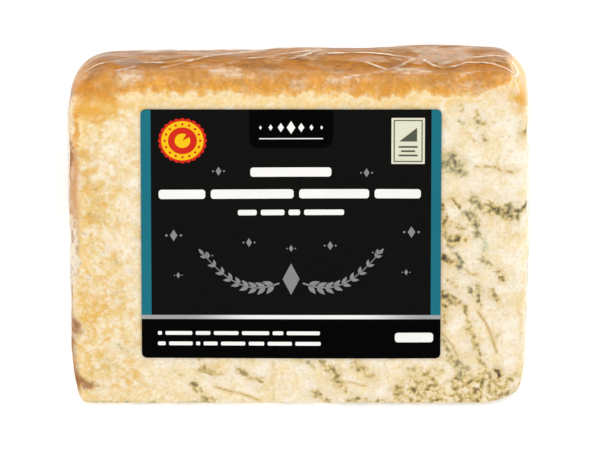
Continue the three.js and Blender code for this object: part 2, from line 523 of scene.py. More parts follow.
def make_piece(
    name: str,
    points: Array,
    faces: Iterable[Array],
    materials: Sequence[bpy.types.Material],
    fields: dict[str, Array] | None = None,
    finish: Array | None = None,
    smooth: bool = True,
) -> bpy.types.Object:
    """Makes one mesh object in the frame and reports it.

    Args:
        name: The piece's name.
        points: Its points, in millimetres from the tip's axis.
        faces: Arrays of faces, each of one number of corners, or lists of corners.
        materials: Its materials.
        fields: A named number for each point, for the materials to read.
        finish: Which of the materials each face wears.
        smooth: Whether its faces are shaded as one smooth surface.

    Returns:
        The object, linked to the scene.
    """
    mesh = bpy.data.meshes.new(name)
    corners = [list(map(int, face)) for group in faces for face in group]
    mesh.from_pydata(((points + AXIS) * MM).tolist(), [], corners)
    for material in materials:
        mesh.materials.append(material)
    if finish is not None:
        mesh.polygons.foreach_set("material_index", np.asarray(finish, np.int32))
    for key, values in (fields or {}).items():
        layer = mesh.attributes.new(key, "FLOAT", "POINT")
        layer.data.foreach_set("value", np.asarray(values, np.float32))
    mesh.polygons.foreach_set("use_smooth", np.full(len(mesh.polygons), smooth))
    mesh.update()
    made = bpy.data.objects.new(name, mesh)
    bpy.context.scene.collection.objects.link(made)
    log.info("%s: %d points, %d faces", name, len(points), len(mesh.polygons))
    return made


# ---------------- shader building


def colour(code: str) -> tuple[float, float, float, float]:
    """A colour from its hexadecimal code, as the linear numbers that shaders take.

    Args:
        code: Six hexadecimal digits.

    Returns:
        Red, green and blue, and 1 for opaque.
    """
    parts = [int(code[k:k + 2], 16) / 255 for k in (0, 2, 4)]
    red, green, blue = (p / 12.92 if p <= 0.04045 else ((p + 0.055) / 1.055) ** 2.4 for p in parts)
    return red, green, blue, 1.0


class Graph:
    """Adds nodes to one shader tree and joins them."""

    def __init__(self, tree: bpy.types.NodeTree) -> None:
        """Keeps the tree to build in."""
        self.tree = tree

    def feed(self, socket: Socket, value: Any) -> None:
        """Joins an output to an input, or gives the input a plain value.

        Args:
            socket: The input.
            value: The output, the value, or a colour's hexadecimal code.
        """
        if isinstance(value, bpy.types.NodeSocket):
            self.tree.links.new(value, socket)
        else:
            socket.default_value = colour(value) if isinstance(value, str) else value

    def node(self, kind: str, inputs: dict[Any, Any], **settings: Any) -> bpy.types.Node:
        """Adds a node.

        Args:
            kind: The node's type.
            inputs: A value or an output for each input named, or numbered.
            **settings: The node's own properties.

        Returns:
            The node.
        """
        made = self.tree.nodes.new(kind)
        for name, value in settings.items():
            setattr(made, name, value)
        for name, value in inputs.items():
            self.feed(made.inputs[name], value)
        return made

    def math(self, operation: str, *values: Any, clamp: bool = False) -> Socket:
        """The result of a Math node."""
        inputs = dict(enumerate(values))
        return self.node("ShaderNodeMath", inputs, operation=operation, use_clamp=clamp).outputs[0]

    def times(self, first: Any, second: Any, clamp: bool = False) -> Socket:
        """The product of two values, kept from 0 to 1 if wanted."""
        return self.math("MULTIPLY", first, second, clamp=clamp)

    def scaled(self, value: Any, factor: Any, addend: Any) -> Socket:
        """A value times a factor, plus an addend."""
        return self.math("MULTIPLY_ADD", value, factor, addend)

    def blend(self, share: Any, first: Any, second: Any) -> Socket:
        """A colour that goes from the first to the second as the share goes from 0 to 1."""
        inputs = {0: share, 6: first, 7: second}
        return self.node("ShaderNodeMix", inputs, data_type="RGBA").outputs[2]

    def eased(self, value: Any, low: float, high: float) -> Socket:
        """A value eased from 0 at low to 1 at high."""
        inputs = {"Value": value, "From Min": low, "From Max": high}
        return self.node("ShaderNodeMapRange", inputs, interpolation_type="SMOOTHSTEP").outputs["Result"]

    def ramp(self, value: Any, stops: Sequence[tuple[float, str]]) -> Socket:
        """A colour that runs through stops, each a place from 0 to 1 and a code.

        Args:
            value: Where to look, from 0 to 1.
            stops: Each stop's place and its colour's code.

        Returns:
            The colour.
        """
        made = self.node("ShaderNodeValToRGB", {"Fac": value})
        elements = made.color_ramp.elements
        for k, (place, code) in enumerate(stops):
            element = elements[k] if k < 2 else elements.new(place)
            element.position = place
            element.color = colour(code)
        return made.outputs["Color"]

    def field(self, name: str) -> Socket:
        """A number that the mesh holds at each point."""
        return self.node("ShaderNodeAttribute", {}, attribute_name=name).outputs["Fac"]

    def group(self, tree: bpy.types.NodeTree, output: str, **inputs: Any) -> Socket:
        """An output of a node group placed in this tree with its own values."""
        return self.node("ShaderNodeGroup", inputs, node_tree=tree).outputs[output]

    def bump(self, height: Socket, strength: float, depth: float) -> Socket:
        """The normal that a height gives, with the bump's strength and its depth in millimetres."""
        inputs = {"Strength": strength, "Distance": depth * MM, "Height": height}
        return self.node("ShaderNodeBump", inputs).outputs[0]

    def surface(self, shader: bpy.types.Node) -> None:
        """Ends a material's graph with its surface."""
        self.node("ShaderNodeOutputMaterial", {"Surface": shader.outputs[0]})


def new_group(name: str, inputs: dict[str, float], outputs: Sequence[str]) -> tuple[Graph, Any, Any]:
    """Starts a shader node group whose sockets are all numbers.

    Args:
        name: The group's name.
        inputs: Each input's name and usual value.
        outputs: Each output's name.

    Returns:
        The group's graph, its input node and its output node.
    """
    tree = bpy.data.node_groups.new(name, "ShaderNodeTree")
    for title, usual in inputs.items():
        made = tree.interface.new_socket(title, in_out="INPUT", socket_type="NodeSocketFloat")
        made.default_value = usual
    for title in outputs:
        tree.interface.new_socket(title, in_out="OUTPUT", socket_type="NodeSocketFloat")
    graph = Graph(tree)
    return graph, graph.node("NodeGroupInput", {}), graph.node("NodeGroupOutput", {})


def noise_in_group(graph: Graph, size: Socket, detail: Socket, seed: Socket) -> Socket:
    """Noise over the object in millimetres, inside a group.

    Args:
        graph: The group's graph.
        size: How large its blotches are, in millimetres.
        detail: How much finer noise it holds.
        seed: Which part of the noise to use.

    Returns:
        The noise, from 0 to 1.
    """
    place = graph.node("ShaderNodeTexCoord", {}).outputs["Object"]
    scale = graph.math("DIVIDE", 1 / MM, size)
    inputs = {"Vector": place, "W": seed, "Scale": scale, "Detail": detail}
    return graph.node("ShaderNodeTexNoise", inputs, noise_dimensions="4D").outputs["Fac"]


class Blotch(Enum):
    """The kinds of blotch: size in millimetres, detail, seed and the mask's low and high limits."""

    CURDS = (5.0, 4.0, 1.0, 0.38, 0.6)
    CRUMBS = (1.4, 4.0, 2.0, 0.48, 0.64)
    PASTE_SPECKS = (1.0, 3.0, 13.0, 0.52, 0.7)
    STRAW_PATCHES = (3.4, 4.0, 4.0, 0.36, 0.62)
    HONEY_PATCHES = (2.2, 4.0, 16.0, 0.48, 0.66)
    BAND_EDGE = (2.4, 2.0, 5.0, 0.3, 0.7)
    BAND_STREAKS = (2.6, 2.0, 6.0, 0.38, 0.62)
    BAND_CRUMBS = (1.6, 3.0, 14.0, 0.48, 0.7)
    MOULD_PATCHES = (2.3, 3.0, 7.0, 0.25, 0.75)
    MOULD_SPECKS = (1.25, 3.5, 8.0, 0.36, 0.64)
    RIND_PATCHES = (9.0, 3.0, 10.0, 0.4, 0.65)
    RIND_SPECKS = (1.5, 3.0, 11.0, 0.42, 0.68)
    DUST = (2.0, 3.0, 12.0, 0.28, 0.7)
    PITS = (1.0, 2.0, 18.0, 0.56, 0.68)
    GRIT = (0.8, 2.0, 17.0, 0.35, 0.68)
    WET_PATCHES = (5.0, 2.0, 9.0, 0.35, 0.7)
    FILM_HAZE = (1.2, 3.0, 22.0, 0.25, 0.7)
    PAPER_CLOUD = (12.0, 3.0, 32.0, 0.3, 0.7)


class Effects:
    """The effects that several materials share, each a node group built once."""

    def __init__(self) -> None:
        """Builds the groups."""
        self.mottle = self.build_mottle()
        self.grain = self.build_grain()

    def build_mottle(self) -> bpy.types.NodeTree:
        """Blotches of a size, as a mask that is 0 under Low and 1 over High.

        Returns:
            The group.
        """
        names = {"Size": 3.0, "Detail": 2.0, "Seed": 0.0, "Low": 0.45, "High": 0.6}
        graph, start, end = new_group("mottle", names, ["Mask"])
        size, detail, seed, low, high = (start.outputs[name] for name in names)
        mask = graph.eased(noise_in_group(graph, size, detail, seed), low, high)
        graph.feed(end.inputs["Mask"], mask)
        return graph.tree

    def build_grain(self) -> bpy.types.NodeTree:
        """Fine relief of two sizes, as a height from 0 to 1.

        Returns:
            The group.
        """
        names = {"Size": 1.0, "Seed": 0.0, "Fineness": 4.0}
        graph, start, end = new_group("grain", names, ["Height"])
        size, seed, fineness = (start.outputs[name] for name in names)
        coarse = noise_in_group(graph, size, 1.0, seed)
        fine = noise_in_group(graph, graph.math("DIVIDE", size, fineness), 2.0, seed)
        height = graph.scaled(fine, 0.4, graph.times(coarse, 0.6))
        graph.feed(end.inputs["Height"], height)
        return graph.tree

    def blotches(self, graph: Graph, kind: Blotch) -> Socket:
        """The mask of one kind of blotch, from the mottle group placed in a material's graph."""
        names = ("Size", "Detail", "Seed", "Low", "High")
        return graph.group(self.mottle, "Mask", **dict(zip(names, kind.value)))


def new_material(name: str) -> tuple[bpy.types.Material, Graph]:
    """Starts a material.

    Args:
        name: The material's name.

    Returns:
        The material and its graph, which holds no node yet.
    """
    material = bpy.data.materials.new(name)
    material.use_nodes = True
    material.node_tree.nodes.clear()
    return material, Graph(material.node_tree)


# ---------------- the finishes


@dataclass(frozen=True)
class CheeseFinish:
    """Cream paste with blue-green veins, golden below a brown and bloomy rind."""

    effects: Effects
    cream: str = "F2E1B8"
    pale: str = "F9F0DF"
    straw: str = "EAC880"
    tan: str = "D0B77F"
    honey: str = "E4B24C"
    yolk: str = "E3A431"
    gold: str = "D98E28"
    amber: str = "BE781E"
    rind: str = "A16A25"
    umber: str = "744A22"
    mauve: str = "93755F"
    peach: str = "E0AE80"
    scab: str = "9C6236"
    bloom: str = "EADBC2"
    halo: str = "D0B47C"
    smear: str = "D6D1B4"
    crack: str = "D8B562"
    seam: str = "AE873C"
    band: tuple[tuple[float, str], ...] = (
        (0.0, "C08234"),
        (0.12, "CF994D"),
        (0.25, "E29F3E"),
        (0.37, "E9AB49"),
        (0.45, "EFC478"),
        (0.52, "F6DAA6"),
        (0.6, "F3D69C"),
        (0.72, "EFCC86"),
    )
    brown_mould: tuple[tuple[float, str], ...] = (
        (0.0, "E2C67A"),
        (0.22, "CEB16A"),
        (0.42, "AF975C"),
        (0.6, "816D3C"),
        (0.8, "50411F"),
        (1.0, "31240E"),
    )
    blue_mould: tuple[tuple[float, str], ...] = (
        (0.0, "DAD4B2"),
        (0.3, "C7C5A4"),
        (0.5, "A9AB8C"),
        (0.7, "7D846C"),
        (0.88, "4F553F"),
        (1.0, "323524"),
    )
    roughness: float = 0.45

    def material(self) -> bpy.types.Material:
        """Builds the cheese's material.

        Returns:
            The material.
        """
        material, graph = new_material("cheese_paste_and_rind")
        paste = self.paste(graph)
        banded = self.golden_band(graph, paste)
        veined = self.veins(graph, banded)
        base = self.gritty(graph, self.skin(graph, veined))
        grain = graph.group(self.effects.grain, "Height", Size=1.3, Seed=3.0, Fineness=4.0)
        height = graph.scaled(graph.field("vein"), -0.4, grain)
        normal = graph.bump(height, strength=0.45, depth=0.25)
        wet = self.effects.blotches(graph, Blotch.WET_PATCHES)
        shader = graph.node("ShaderNodeBsdfPrincipled", {
            "Base Color": base,
            "Roughness": graph.scaled(wet, 0.12, self.roughness),
            "Normal": normal,
            "Specular IOR Level": graph.scaled(graph.field("skin"), -0.22, 0.22),
            "Subsurface Weight": 0.1,
            "Subsurface Radius": (1.0, 0.7, 0.4),
            "Subsurface Scale": 1.2 * MM,
        })
        graph.surface(shader)
        return material

    def gritty(self, graph: Graph, tone: Socket) -> Socket:
        """The colour with fine darker grit all over, most of it towards the rind.

        Args:
            graph: The material's graph.
            tone: The colour so far.

        Returns:
            The gritty colour.
        """
        grit = self.effects.blotches(graph, Blotch.GRIT)
        share = graph.scaled(graph.eased(graph.field("depth"), 1.3, 0.7), 0.11, 0.07)
        value = graph.scaled(graph.times(grit, share), -1.0, 1.035)
        return graph.node("ShaderNodeHueSaturation", {"Color": tone, "Value": value}).outputs["Color"]

    def paste(self, graph: Graph) -> Socket:
        """The cream paste with its paler curds, fine crumbs and yellow patches.

        Args:
            graph: The material's graph.

        Returns:
            The paste's colour.
        """
        broad = self.effects.blotches(graph, Blotch.CURDS)
        crumbs = self.effects.blotches(graph, Blotch.CRUMBS)
        specks = self.effects.blotches(graph, Blotch.PASTE_SPECKS)
        patch = self.effects.blotches(graph, Blotch.STRAW_PATCHES)
        tone = graph.blend(broad, self.cream, self.pale)
        tone = graph.blend(graph.times(patch, 0.28), tone, self.straw)
        yellow = graph.field("yellow")
        share = graph.times(yellow, graph.scaled(patch, 0.55, 0.35), clamp=True)
        tone = graph.blend(share, tone, self.straw)
        tone = graph.blend(graph.times(crumbs, 0.5), tone, self.pale)
        tone = graph.blend(graph.times(specks, 0.45), tone, self.tan)
        golden = self.effects.blotches(graph, Blotch.HONEY_PATCHES)
        golden = graph.times(golden, graph.times(yellow, 0.65), clamp=True)
        return graph.blend(golden, tone, self.honey)

    def golden_band(self, graph: Graph, paste: Socket) -> Socket:
        """The paste going pale, then gold and then amber towards the rind.

        Args:
            graph: The material's graph.
            paste: The paste's colour.

        Returns:
            The colour with the band.
        """
        ragged = self.effects.blotches(graph, Blotch.BAND_EDGE)
        depth = graph.scaled(ragged, 0.3, graph.math("SUBTRACT", graph.field("depth"), 0.15))
        streak = self.effects.blotches(graph, Blotch.BAND_STREAKS)
        pale = self.effects.blotches(graph, Blotch.BAND_CRUMBS)
        tone = graph.ramp(graph.times(depth, 0.5), self.band)
        tone = graph.blend(graph.eased(depth, 1.8, 1.3), paste, tone)
        amber = graph.scaled(graph.field("streak"), 0.6, graph.times(streak, 0.4))
        amber = graph.times(graph.eased(depth, 1.05, 0.7), amber)
        tone = graph.blend(graph.times(amber, 0.62), tone, self.gold)
        pale = graph.times(pale, graph.scaled(graph.eased(depth, 0.7, 1.1), 0.35, 0.15))
        tone = graph.blend(pale, tone, self.pale)
        rich = graph.times(graph.eased(graph.field("yellow"), 1.3, 2.2), graph.eased(depth, 0.6, 1.0))
        share = graph.times(rich, graph.scaled(streak, 0.5, 0.5), clamp=True)
        return graph.blend(share, tone, self.yolk)

    def veins(self, graph: Graph, base: Socket) -> Socket:
        """Thin golden seams, and mould that runs from a yellow halo to dark specks.

        Args:
            graph: The material's graph.
            base: The colour so far.

        Returns:
            The colour with the veins.
        """
        vein = graph.field("vein")
        blotch = self.effects.blotches(graph, Blotch.MOULD_PATCHES)
        speck = self.effects.blotches(graph, Blotch.MOULD_SPECKS)
        crack = graph.field("crack")
        tone = graph.blend(graph.times(crack, 0.75), base, self.crack)
        seam = graph.times(graph.eased(crack, 0.5, 0.9), graph.scaled(speck, 0.45, 0.2))
        tone = graph.blend(seam, tone, self.seam)
        blue = graph.field("blue")
        smear = graph.blend(blue, self.halo, self.smear)
        soft = graph.scaled(blotch, 1.1, 0.25)
        tone = graph.blend(graph.times(graph.field("halo"), soft, clamp=True), tone, smear)
        crisp = graph.times(speck, graph.scaled(blue, -0.45, 0.78))
        broad = graph.times(blotch, graph.scaled(blue, 0.3, 0.5))
        level = graph.math("ADD", vein, graph.math("ADD", crisp, broad))
        share = graph.times(graph.eased(level, 0.65, 1.2), graph.eased(vein, 0.05, 0.4))
        place = graph.scaled(level, 0.9, -0.82)
        mould = graph.blend(blue, graph.ramp(place, self.brown_mould), graph.ramp(place, self.blue_mould))
        return graph.blend(graph.times(share, 0.92), tone, mould)

    def skin(self, graph: Graph, inside: Socket) -> Socket:
        """The brown rind with its darker patches and pale bloom.

        Args:
            graph: The material's graph.
            inside: The colour under it.

        Returns:
            The colour with the rind.
        """
        broad = self.effects.blotches(graph, Blotch.RIND_PATCHES)
        small = self.effects.blotches(graph, Blotch.RIND_SPECKS)
        dust = self.effects.blotches(graph, Blotch.DUST)
        tone = graph.blend(broad, self.amber, self.rind)
        tone = graph.blend(graph.times(graph.field("streak"), 0.45), tone, self.rind)
        tone = graph.blend(graph.times(small, 0.6), tone, self.umber)
        tone = graph.blend(graph.field("mauve"), tone, self.mauve)
        tone = graph.blend(graph.field("peach"), tone, self.peach)
        tone = graph.blend(graph.field("skin"), inside, tone)
        warm = graph.blend(graph.eased(graph.field("depth"), 0.0, 0.8), self.rind, self.gold)
        warm = graph.blend(graph.times(small, 0.35), warm, self.rind)
        tone = graph.blend(graph.field("warm"), tone, warm)
        bloom = graph.field("bloom")
        dust = graph.math("MAXIMUM", dust, graph.eased(bloom, 0.6, 1.0))
        tone = graph.blend(graph.times(bloom, dust), tone, self.bloom)
        pitted = self.effects.blotches(graph, Blotch.PITS)
        tone = graph.blend(graph.times(pitted, graph.times(bloom, 0.4)), tone, self.umber)
        tone = graph.blend(graph.field("scab"), tone, self.scab)
        return graph.blend(graph.times(pitted, graph.field("scab")), tone, self.umber)


@dataclass(frozen=True)
class FilmFinish:
    """Thin clear film: see-through, glossy, and milky where it is creased; the milk is partly real and
    partly painted highlights and painted reflections.
    """

    effects: Effects
    milk_and_highlight: str = "FFEBCF"
    clear_roughness: float = 0.1
    milk_roughness: float = 0.35
    least_gloss: float = 0.01
    edge_gloss: float = 0.3

    def material(self) -> bpy.types.Material:
        """Builds the film's material.

        Returns:
            The material.
        """
        material, graph = new_material("clear_film")
        wrinkle = graph.group(self.effects.grain, "Height", Size=2.2, Seed=21.0, Fineness=3.0)
        normal = graph.bump(wrinkle, strength=0.25, depth=0.2)
        clear = graph.node("ShaderNodeBsdfTransparent", {"Color": (1.0, 1.0, 1.0, 1.0)})
        milk_and_highlight = graph.node("ShaderNodeBsdfPrincipled", {
            "Base Color": self.milk_and_highlight,
            "Roughness": self.milk_roughness,
            "Normal": normal,
        })
        # The milky share: partly real haze, partly painted highlights on creases and painted reflections
        # on the rind.
        patch = self.effects.blotches(graph, Blotch.FILM_HAZE)
        haze_and_highlight = graph.field("haze_and_highlight")
        share = graph.times(graph.eased(haze_and_highlight, 0.04, 0.8), graph.scaled(patch, 0.5, 0.5))
        veiled_and_highlit = graph.node("ShaderNodeMixShader", {0: share, 1: clear.outputs[0], 2: milk_and_highlight.outputs[0]})
        gloss = graph.node("ShaderNodeBsdfGlossy", {
            "Color": (1.0, 1.0, 1.0, 1.0),
            "Roughness": self.clear_roughness,
            "Normal": normal,
        })
        weight = graph.node("ShaderNodeLayerWeight", {"Blend": 0.5, "Normal": normal})
        steep = graph.math("POWER", weight.outputs["Facing"], 8.0)
        share = graph.scaled(steep, self.edge_gloss, self.least_gloss)
        glossy = graph.node("ShaderNodeMixShader", {0: share, 1: veiled_and_highlit.outputs[0], 2: gloss.outputs[0]})
        graph.surface(glossy)
        return material


class Ink(Enum):
    """The label's printed colours: a code and a roughness."""

    CHARCOAL = ("0F0F0E", 0.5)
    BLACK = ("010101", 0.5)
    TEAL = ("1E6F7E", 0.5)
    SILVER = ("9EA09F", 0.4)
    GREY = ("868686", 0.5)
    WHITE = ("EFEEE9", 0.55)
    CREAM = ("DEDCC4", 0.55)
    RED = ("CE2A1C", 0.5)
    YELLOW = ("F0BE18", 0.5)
    OLIVE = ("55584A", 0.5)


@dataclass(frozen=True)
class InkFinish:
    """A satin print on coated paper, in one colour."""

    effects: Effects
    ink: Ink
    shine: float = 0.025
    wear: float = 1.04
    # The silver's painted highlight: its colour, its middle and where it fades.
    silver_highlight: str = "ECECEA"
    highlight_middle: float = 2.0
    highlight_from: float = 33.0
    highlight_to: float = 12.0

    def material(self) -> bpy.types.Material:
        """Builds the print's material.

        Returns:
            The material.
        """
        code, roughness = self.ink.value
        material, graph = new_material(f"print_{self.ink.name.lower()}")
        fibre = graph.group(self.effects.grain, "Height", Size=0.7, Seed=31.0, Fineness=3.0)
        normal = graph.bump(fibre, strength=0.12, depth=0.05)
        cloud = self.effects.blotches(graph, Blotch.PAPER_CLOUD)
        # Silver takes a painted highlight; base and worn both carry it.
        if self.ink is Ink.SILVER:
            base = worn = self.painted_silver_sheen(graph, code)
        else:
            base = colour(code)
            worn = (*(min(1.0, self.wear * part) for part in base[:3]), 1.0)
        shader = graph.node("ShaderNodeBsdfPrincipled", {
            "Base Color": graph.blend(cloud, base, worn),
            "Roughness": graph.scaled(cloud, 0.06, roughness),
            "Specular IOR Level": self.shine,
            "Normal": normal,
        })
        graph.surface(shader)
        return material

    def painted_silver_sheen(self, graph: Graph, code: str) -> Socket:
        """Silver with a painted highlight: bright in the middle of the label and dull towards its sides.

        Args:
            graph: The material's graph.
            code: The dull silver's colour.

        Returns:
            The silver's colour, with its painted highlight.
        """
        place = graph.node("ShaderNodeTexCoord", {}).outputs["Object"]
        across = graph.node("ShaderNodeSeparateXYZ", {0: place}).outputs["X"]
        away = graph.math("ABSOLUTE", graph.math("SUBTRACT", across, self.highlight_middle * MM))
        # Painted highlight, brightest in the middle of the label.
        light = graph.eased(away, self.highlight_from * MM, self.highlight_to * MM)
        return graph.blend(light, code, self.silver_highlight)


# ---------------- the cheese


@dataclass(frozen=True)
class Vein:
    """A vein or crack on the labelled face, along points of x and distance from the tip's axis."""

    route: Route
    width: float
    strength: float = 1.0
    blue: float = 0.3


FACE_VEINS: tuple[Vein, ...] = (
    Vein(((38.7, 73.3), (41.7, 75.1), (43.6, 72.0)), 3.0, 0.75, 0.45),
    Vein(((47.9, 72.7), (52.0, 72.5), (57.4, 71.9)), 0.9, 0.42, 0.0),
    Vein(((47.2, 87.4), (47.9, 84.4)), 1.0, 0.6, 0.3),
    Vein(((43.9, 91.0), (43.0, 89.0)), 1.0, 0.45, 0.2),
    Vein(((43.3, 86.4), (43.9, 85.6)), 1.1, 0.5, 0.5),
    Vein(((48.2, 89.4), (49.6, 85.6)), 1.5, 0.35, 0.0),
    Vein(((46.0, 81.8), (47.4, 80.8)), 1.1, 0.45, 0.1),
    Vein(((49.4, 82.6), (50.4, 80.8)), 0.9, 0.55, 0.2),
    Vein(((40.8, 56.6), (44.6, 55.2)), 1.2, 0.5, 0.0),
    Vein(((44.6, 43.6), (47.4, 41.9)), 1.6, 0.35, 0.0),
    Vein(((61.0, 83.3), (62.0, 82.9)), 1.1, 0.9, 0.0),
    Vein(((47.0, 63.4), (49.0, 62.1), (51.0, 61.0)), 2.5, 0.66, 0.35),
    Vein(((51.2, 61.4), (54.2, 60.4), (57.2, 59.6)), 2.3, 0.85, 0.1),
    Vein(((56.6, 62.2), (58.6, 60.8), (60.6, 60.4), (61.8, 61.6)), 1.5, 1.0, 0.25),
    Vein(((59.8, 60.6), (59.0, 58.0)), 1.1, 0.85, 0.3),
    Vein(((41.7, 63.6), (44.1, 60.9)), 1.0, 0.7, 0.0),
    Vein(((38.9, 61.2), (39.6, 58.0), (40.0, 55.3)), 1.0, 0.7, 0.0),
    Vein(((45.9, 59.4), (47.2, 56.4), (48.2, 53.9)), 2.3, 0.75, 0.4),
    Vein(((40.0, 52.8), (41.2, 51.2), (44.4, 52.0)), 1.8, 0.85, 0.05),
    Vein(((41.2, 49.5), (42.8, 46.5), (43.4, 43.6)), 1.7, 0.66, 0.5),
    Vein(((39.5, 46.7), (40.8, 44.9)), 1.1, 1.2, 0.0),
    Vein(((49.4, 52.0), (50.8, 47.5)), 2.6, 0.35, 1.0),
    Vein(((49.4, 45.9), (51.9, 44.6)), 1.7, 0.8, 0.4),
    Vein(((40.6, 39.9), (43.0, 37.8)), 0.8, 0.7, 0.1),
    Vein(((45.3, 36.9), (46.8, 35.2)), 1.0, 1.1, 0.4),
    Vein(((47.9, 37.8), (48.7, 35.2), (49.6, 32.8)), 1.0, 0.9, 0.3),
    Vein(((38.7, 36.4), (40.6, 33.7), (42.5, 33.0)), 2.0, 0.75, 0.1),
    Vein(((38.9, 33.0), (39.4, 27.5)), 1.5, 0.6, 0.0),
    Vein(((53.4, 42.6), (54.4, 41.0), (55.0, 39.9)), 1.1, 0.6, 0.0),
    Vein(((52.3, 37.0), (53.2, 35.0), (54.7, 32.8)), 1.3, 0.6, 0.1),
    Vein(((45.0, 31.0), (46.8, 23.9), (48.2, 21.3), (49.3, 18.3), (50.1, 15.1)), 1.4, 0.6, 0.1),
    Vein(((38.9, 21.9), (41.1, 18.0), (41.7, 16.0)), 1.0, 0.7, 0.2),
    Vein(((40.6, 16.6), (43.3, 14.2), (45.7, 12.4)), 2.2, 0.6, 0.3),
    Vein(((50.4, 14.4), (52.0, 10.6), (52.8, 7.1)), 1.3, 0.6, 0.1),
    Vein(((53.6, 12.6), (54.9, 11.0)), 1.0, 0.95, 0.0),
    Vein(((52.8, 9.5), (56.1, 7.4), (59.1, 5.6)), 2.3, 0.5, 0.0),
    Vein(((-33.5, 13.0), (-32.1, 11.8)), 1.2, 0.36, 0.2),
    Vein(((-27.2, 16.0), (-24.8, 13.0), (-22.6, 11.2)), 2.0, 0.43, 0.1),
    Vein(((-28.9, 8.9), (-26.9, 6.0), (-23.4, 3.8)), 1.7, 0.54, 0.1),
    Vein(((-16.1, 13.0), (-13.3, 11.2), (-10.3, 9.8)), 1.6, 0.43, 0.1),
    Vein(((1.0, 16.0), (3.5, 13.6)), 1.5, 0.51, 0.5),
    Vein(((5.7, 15.4), (8.4, 13.6), (10.6, 11.8)), 2.0, 0.55, 0.1),
    Vein(((15.0, 15.4), (17.2, 13.6), (19.6, 11.5)), 1.8, 0.5, 0.1),
    Vein(((9.8, 11.2), (11.7, 8.9), (13.3, 6.5)), 1.6, 0.51, 0.1),
    Vein(((4.4, 6.5), (6.3, 5.0), (8.2, 3.8)), 1.7, 0.77, 0.2),
    Vein(((13.3, 4.1), (26.4, 4.1)), 0.8, 0.59, 0.2),
    Vein(((25.9, 3.8), (27.2, 7.1), (29.7, 9.2)), 1.6, 0.62, 0.05),
    Vein(((31.0, 7.1), (33.5, 5.0)), 1.3, 0.59, 0.0),
    Vein(((-48.5, 20.1), (-46.9, 18.6)), 1.3, 0.4, 0.4),
    Vein(((-53.1, 16.0), (-50.1, 14.2)), 0.9, 0.25, 0.3),
    Vein(((-61.5, 27.5), (-59.9, 24.9)), 1.4, 0.4, 0.0),
    Vein(((-59.4, 10.4), (-57.0, 8.6), (-54.5, 8.2)), 1.3, 0.4, 0.0),
    Vein(((-58.5, 76.2), (-55.5, 76.0)), 2.0, 0.26, 0.0),
    Vein(((-58.0, 71.6), (-56.8, 69.0), (-54.8, 66.6)), 1.8, 0.26, 0.0),
    Vein(((-56.0, 63.6), (-53.5, 63.0)), 1.8, 0.26, 0.0),
    Vein(((-57.0, 59.4), (-55.5, 57.6), (-52.8, 57.6)), 1.7, 0.26, 0.0),
    Vein(((-49.6, 45.5), (-49.0, 44.9)), 1.2, 0.3, 0.0),
    Vein(((-49.8, 36.1), (-49.2, 35.6)), 1.3, 0.3, 0.0),
)

FACE_CRACKS: tuple[Vein, ...] = (
    Vein(((48.5, 30.5), (50.9, 26.8), (52.3, 23.7), (53.9, 18.3)), 0.8, 0.95),
    Vein(((-22.9, 8.0), (-16.1, 5.9), (-10.6, 3.8)), 0.75, 0.95),
    Vein(((-7.1, 16.0), (-7.3, 10.0), (-7.1, 3.8)), 0.8, 0.5),
    Vein(((10.0, 9.0), (14.0, 9.6), (18.6, 8.4)), 0.75, 0.8),
    Vein(((-57.0, 12.0), (-50.0, 14.6), (-42.0, 8.4), (-33.0, 5.0)), 0.75, 0.5),
    Vein(((38.9, 24.0), (41.6, 20.6), (43.4, 17.0)), 0.8, 0.9),
)


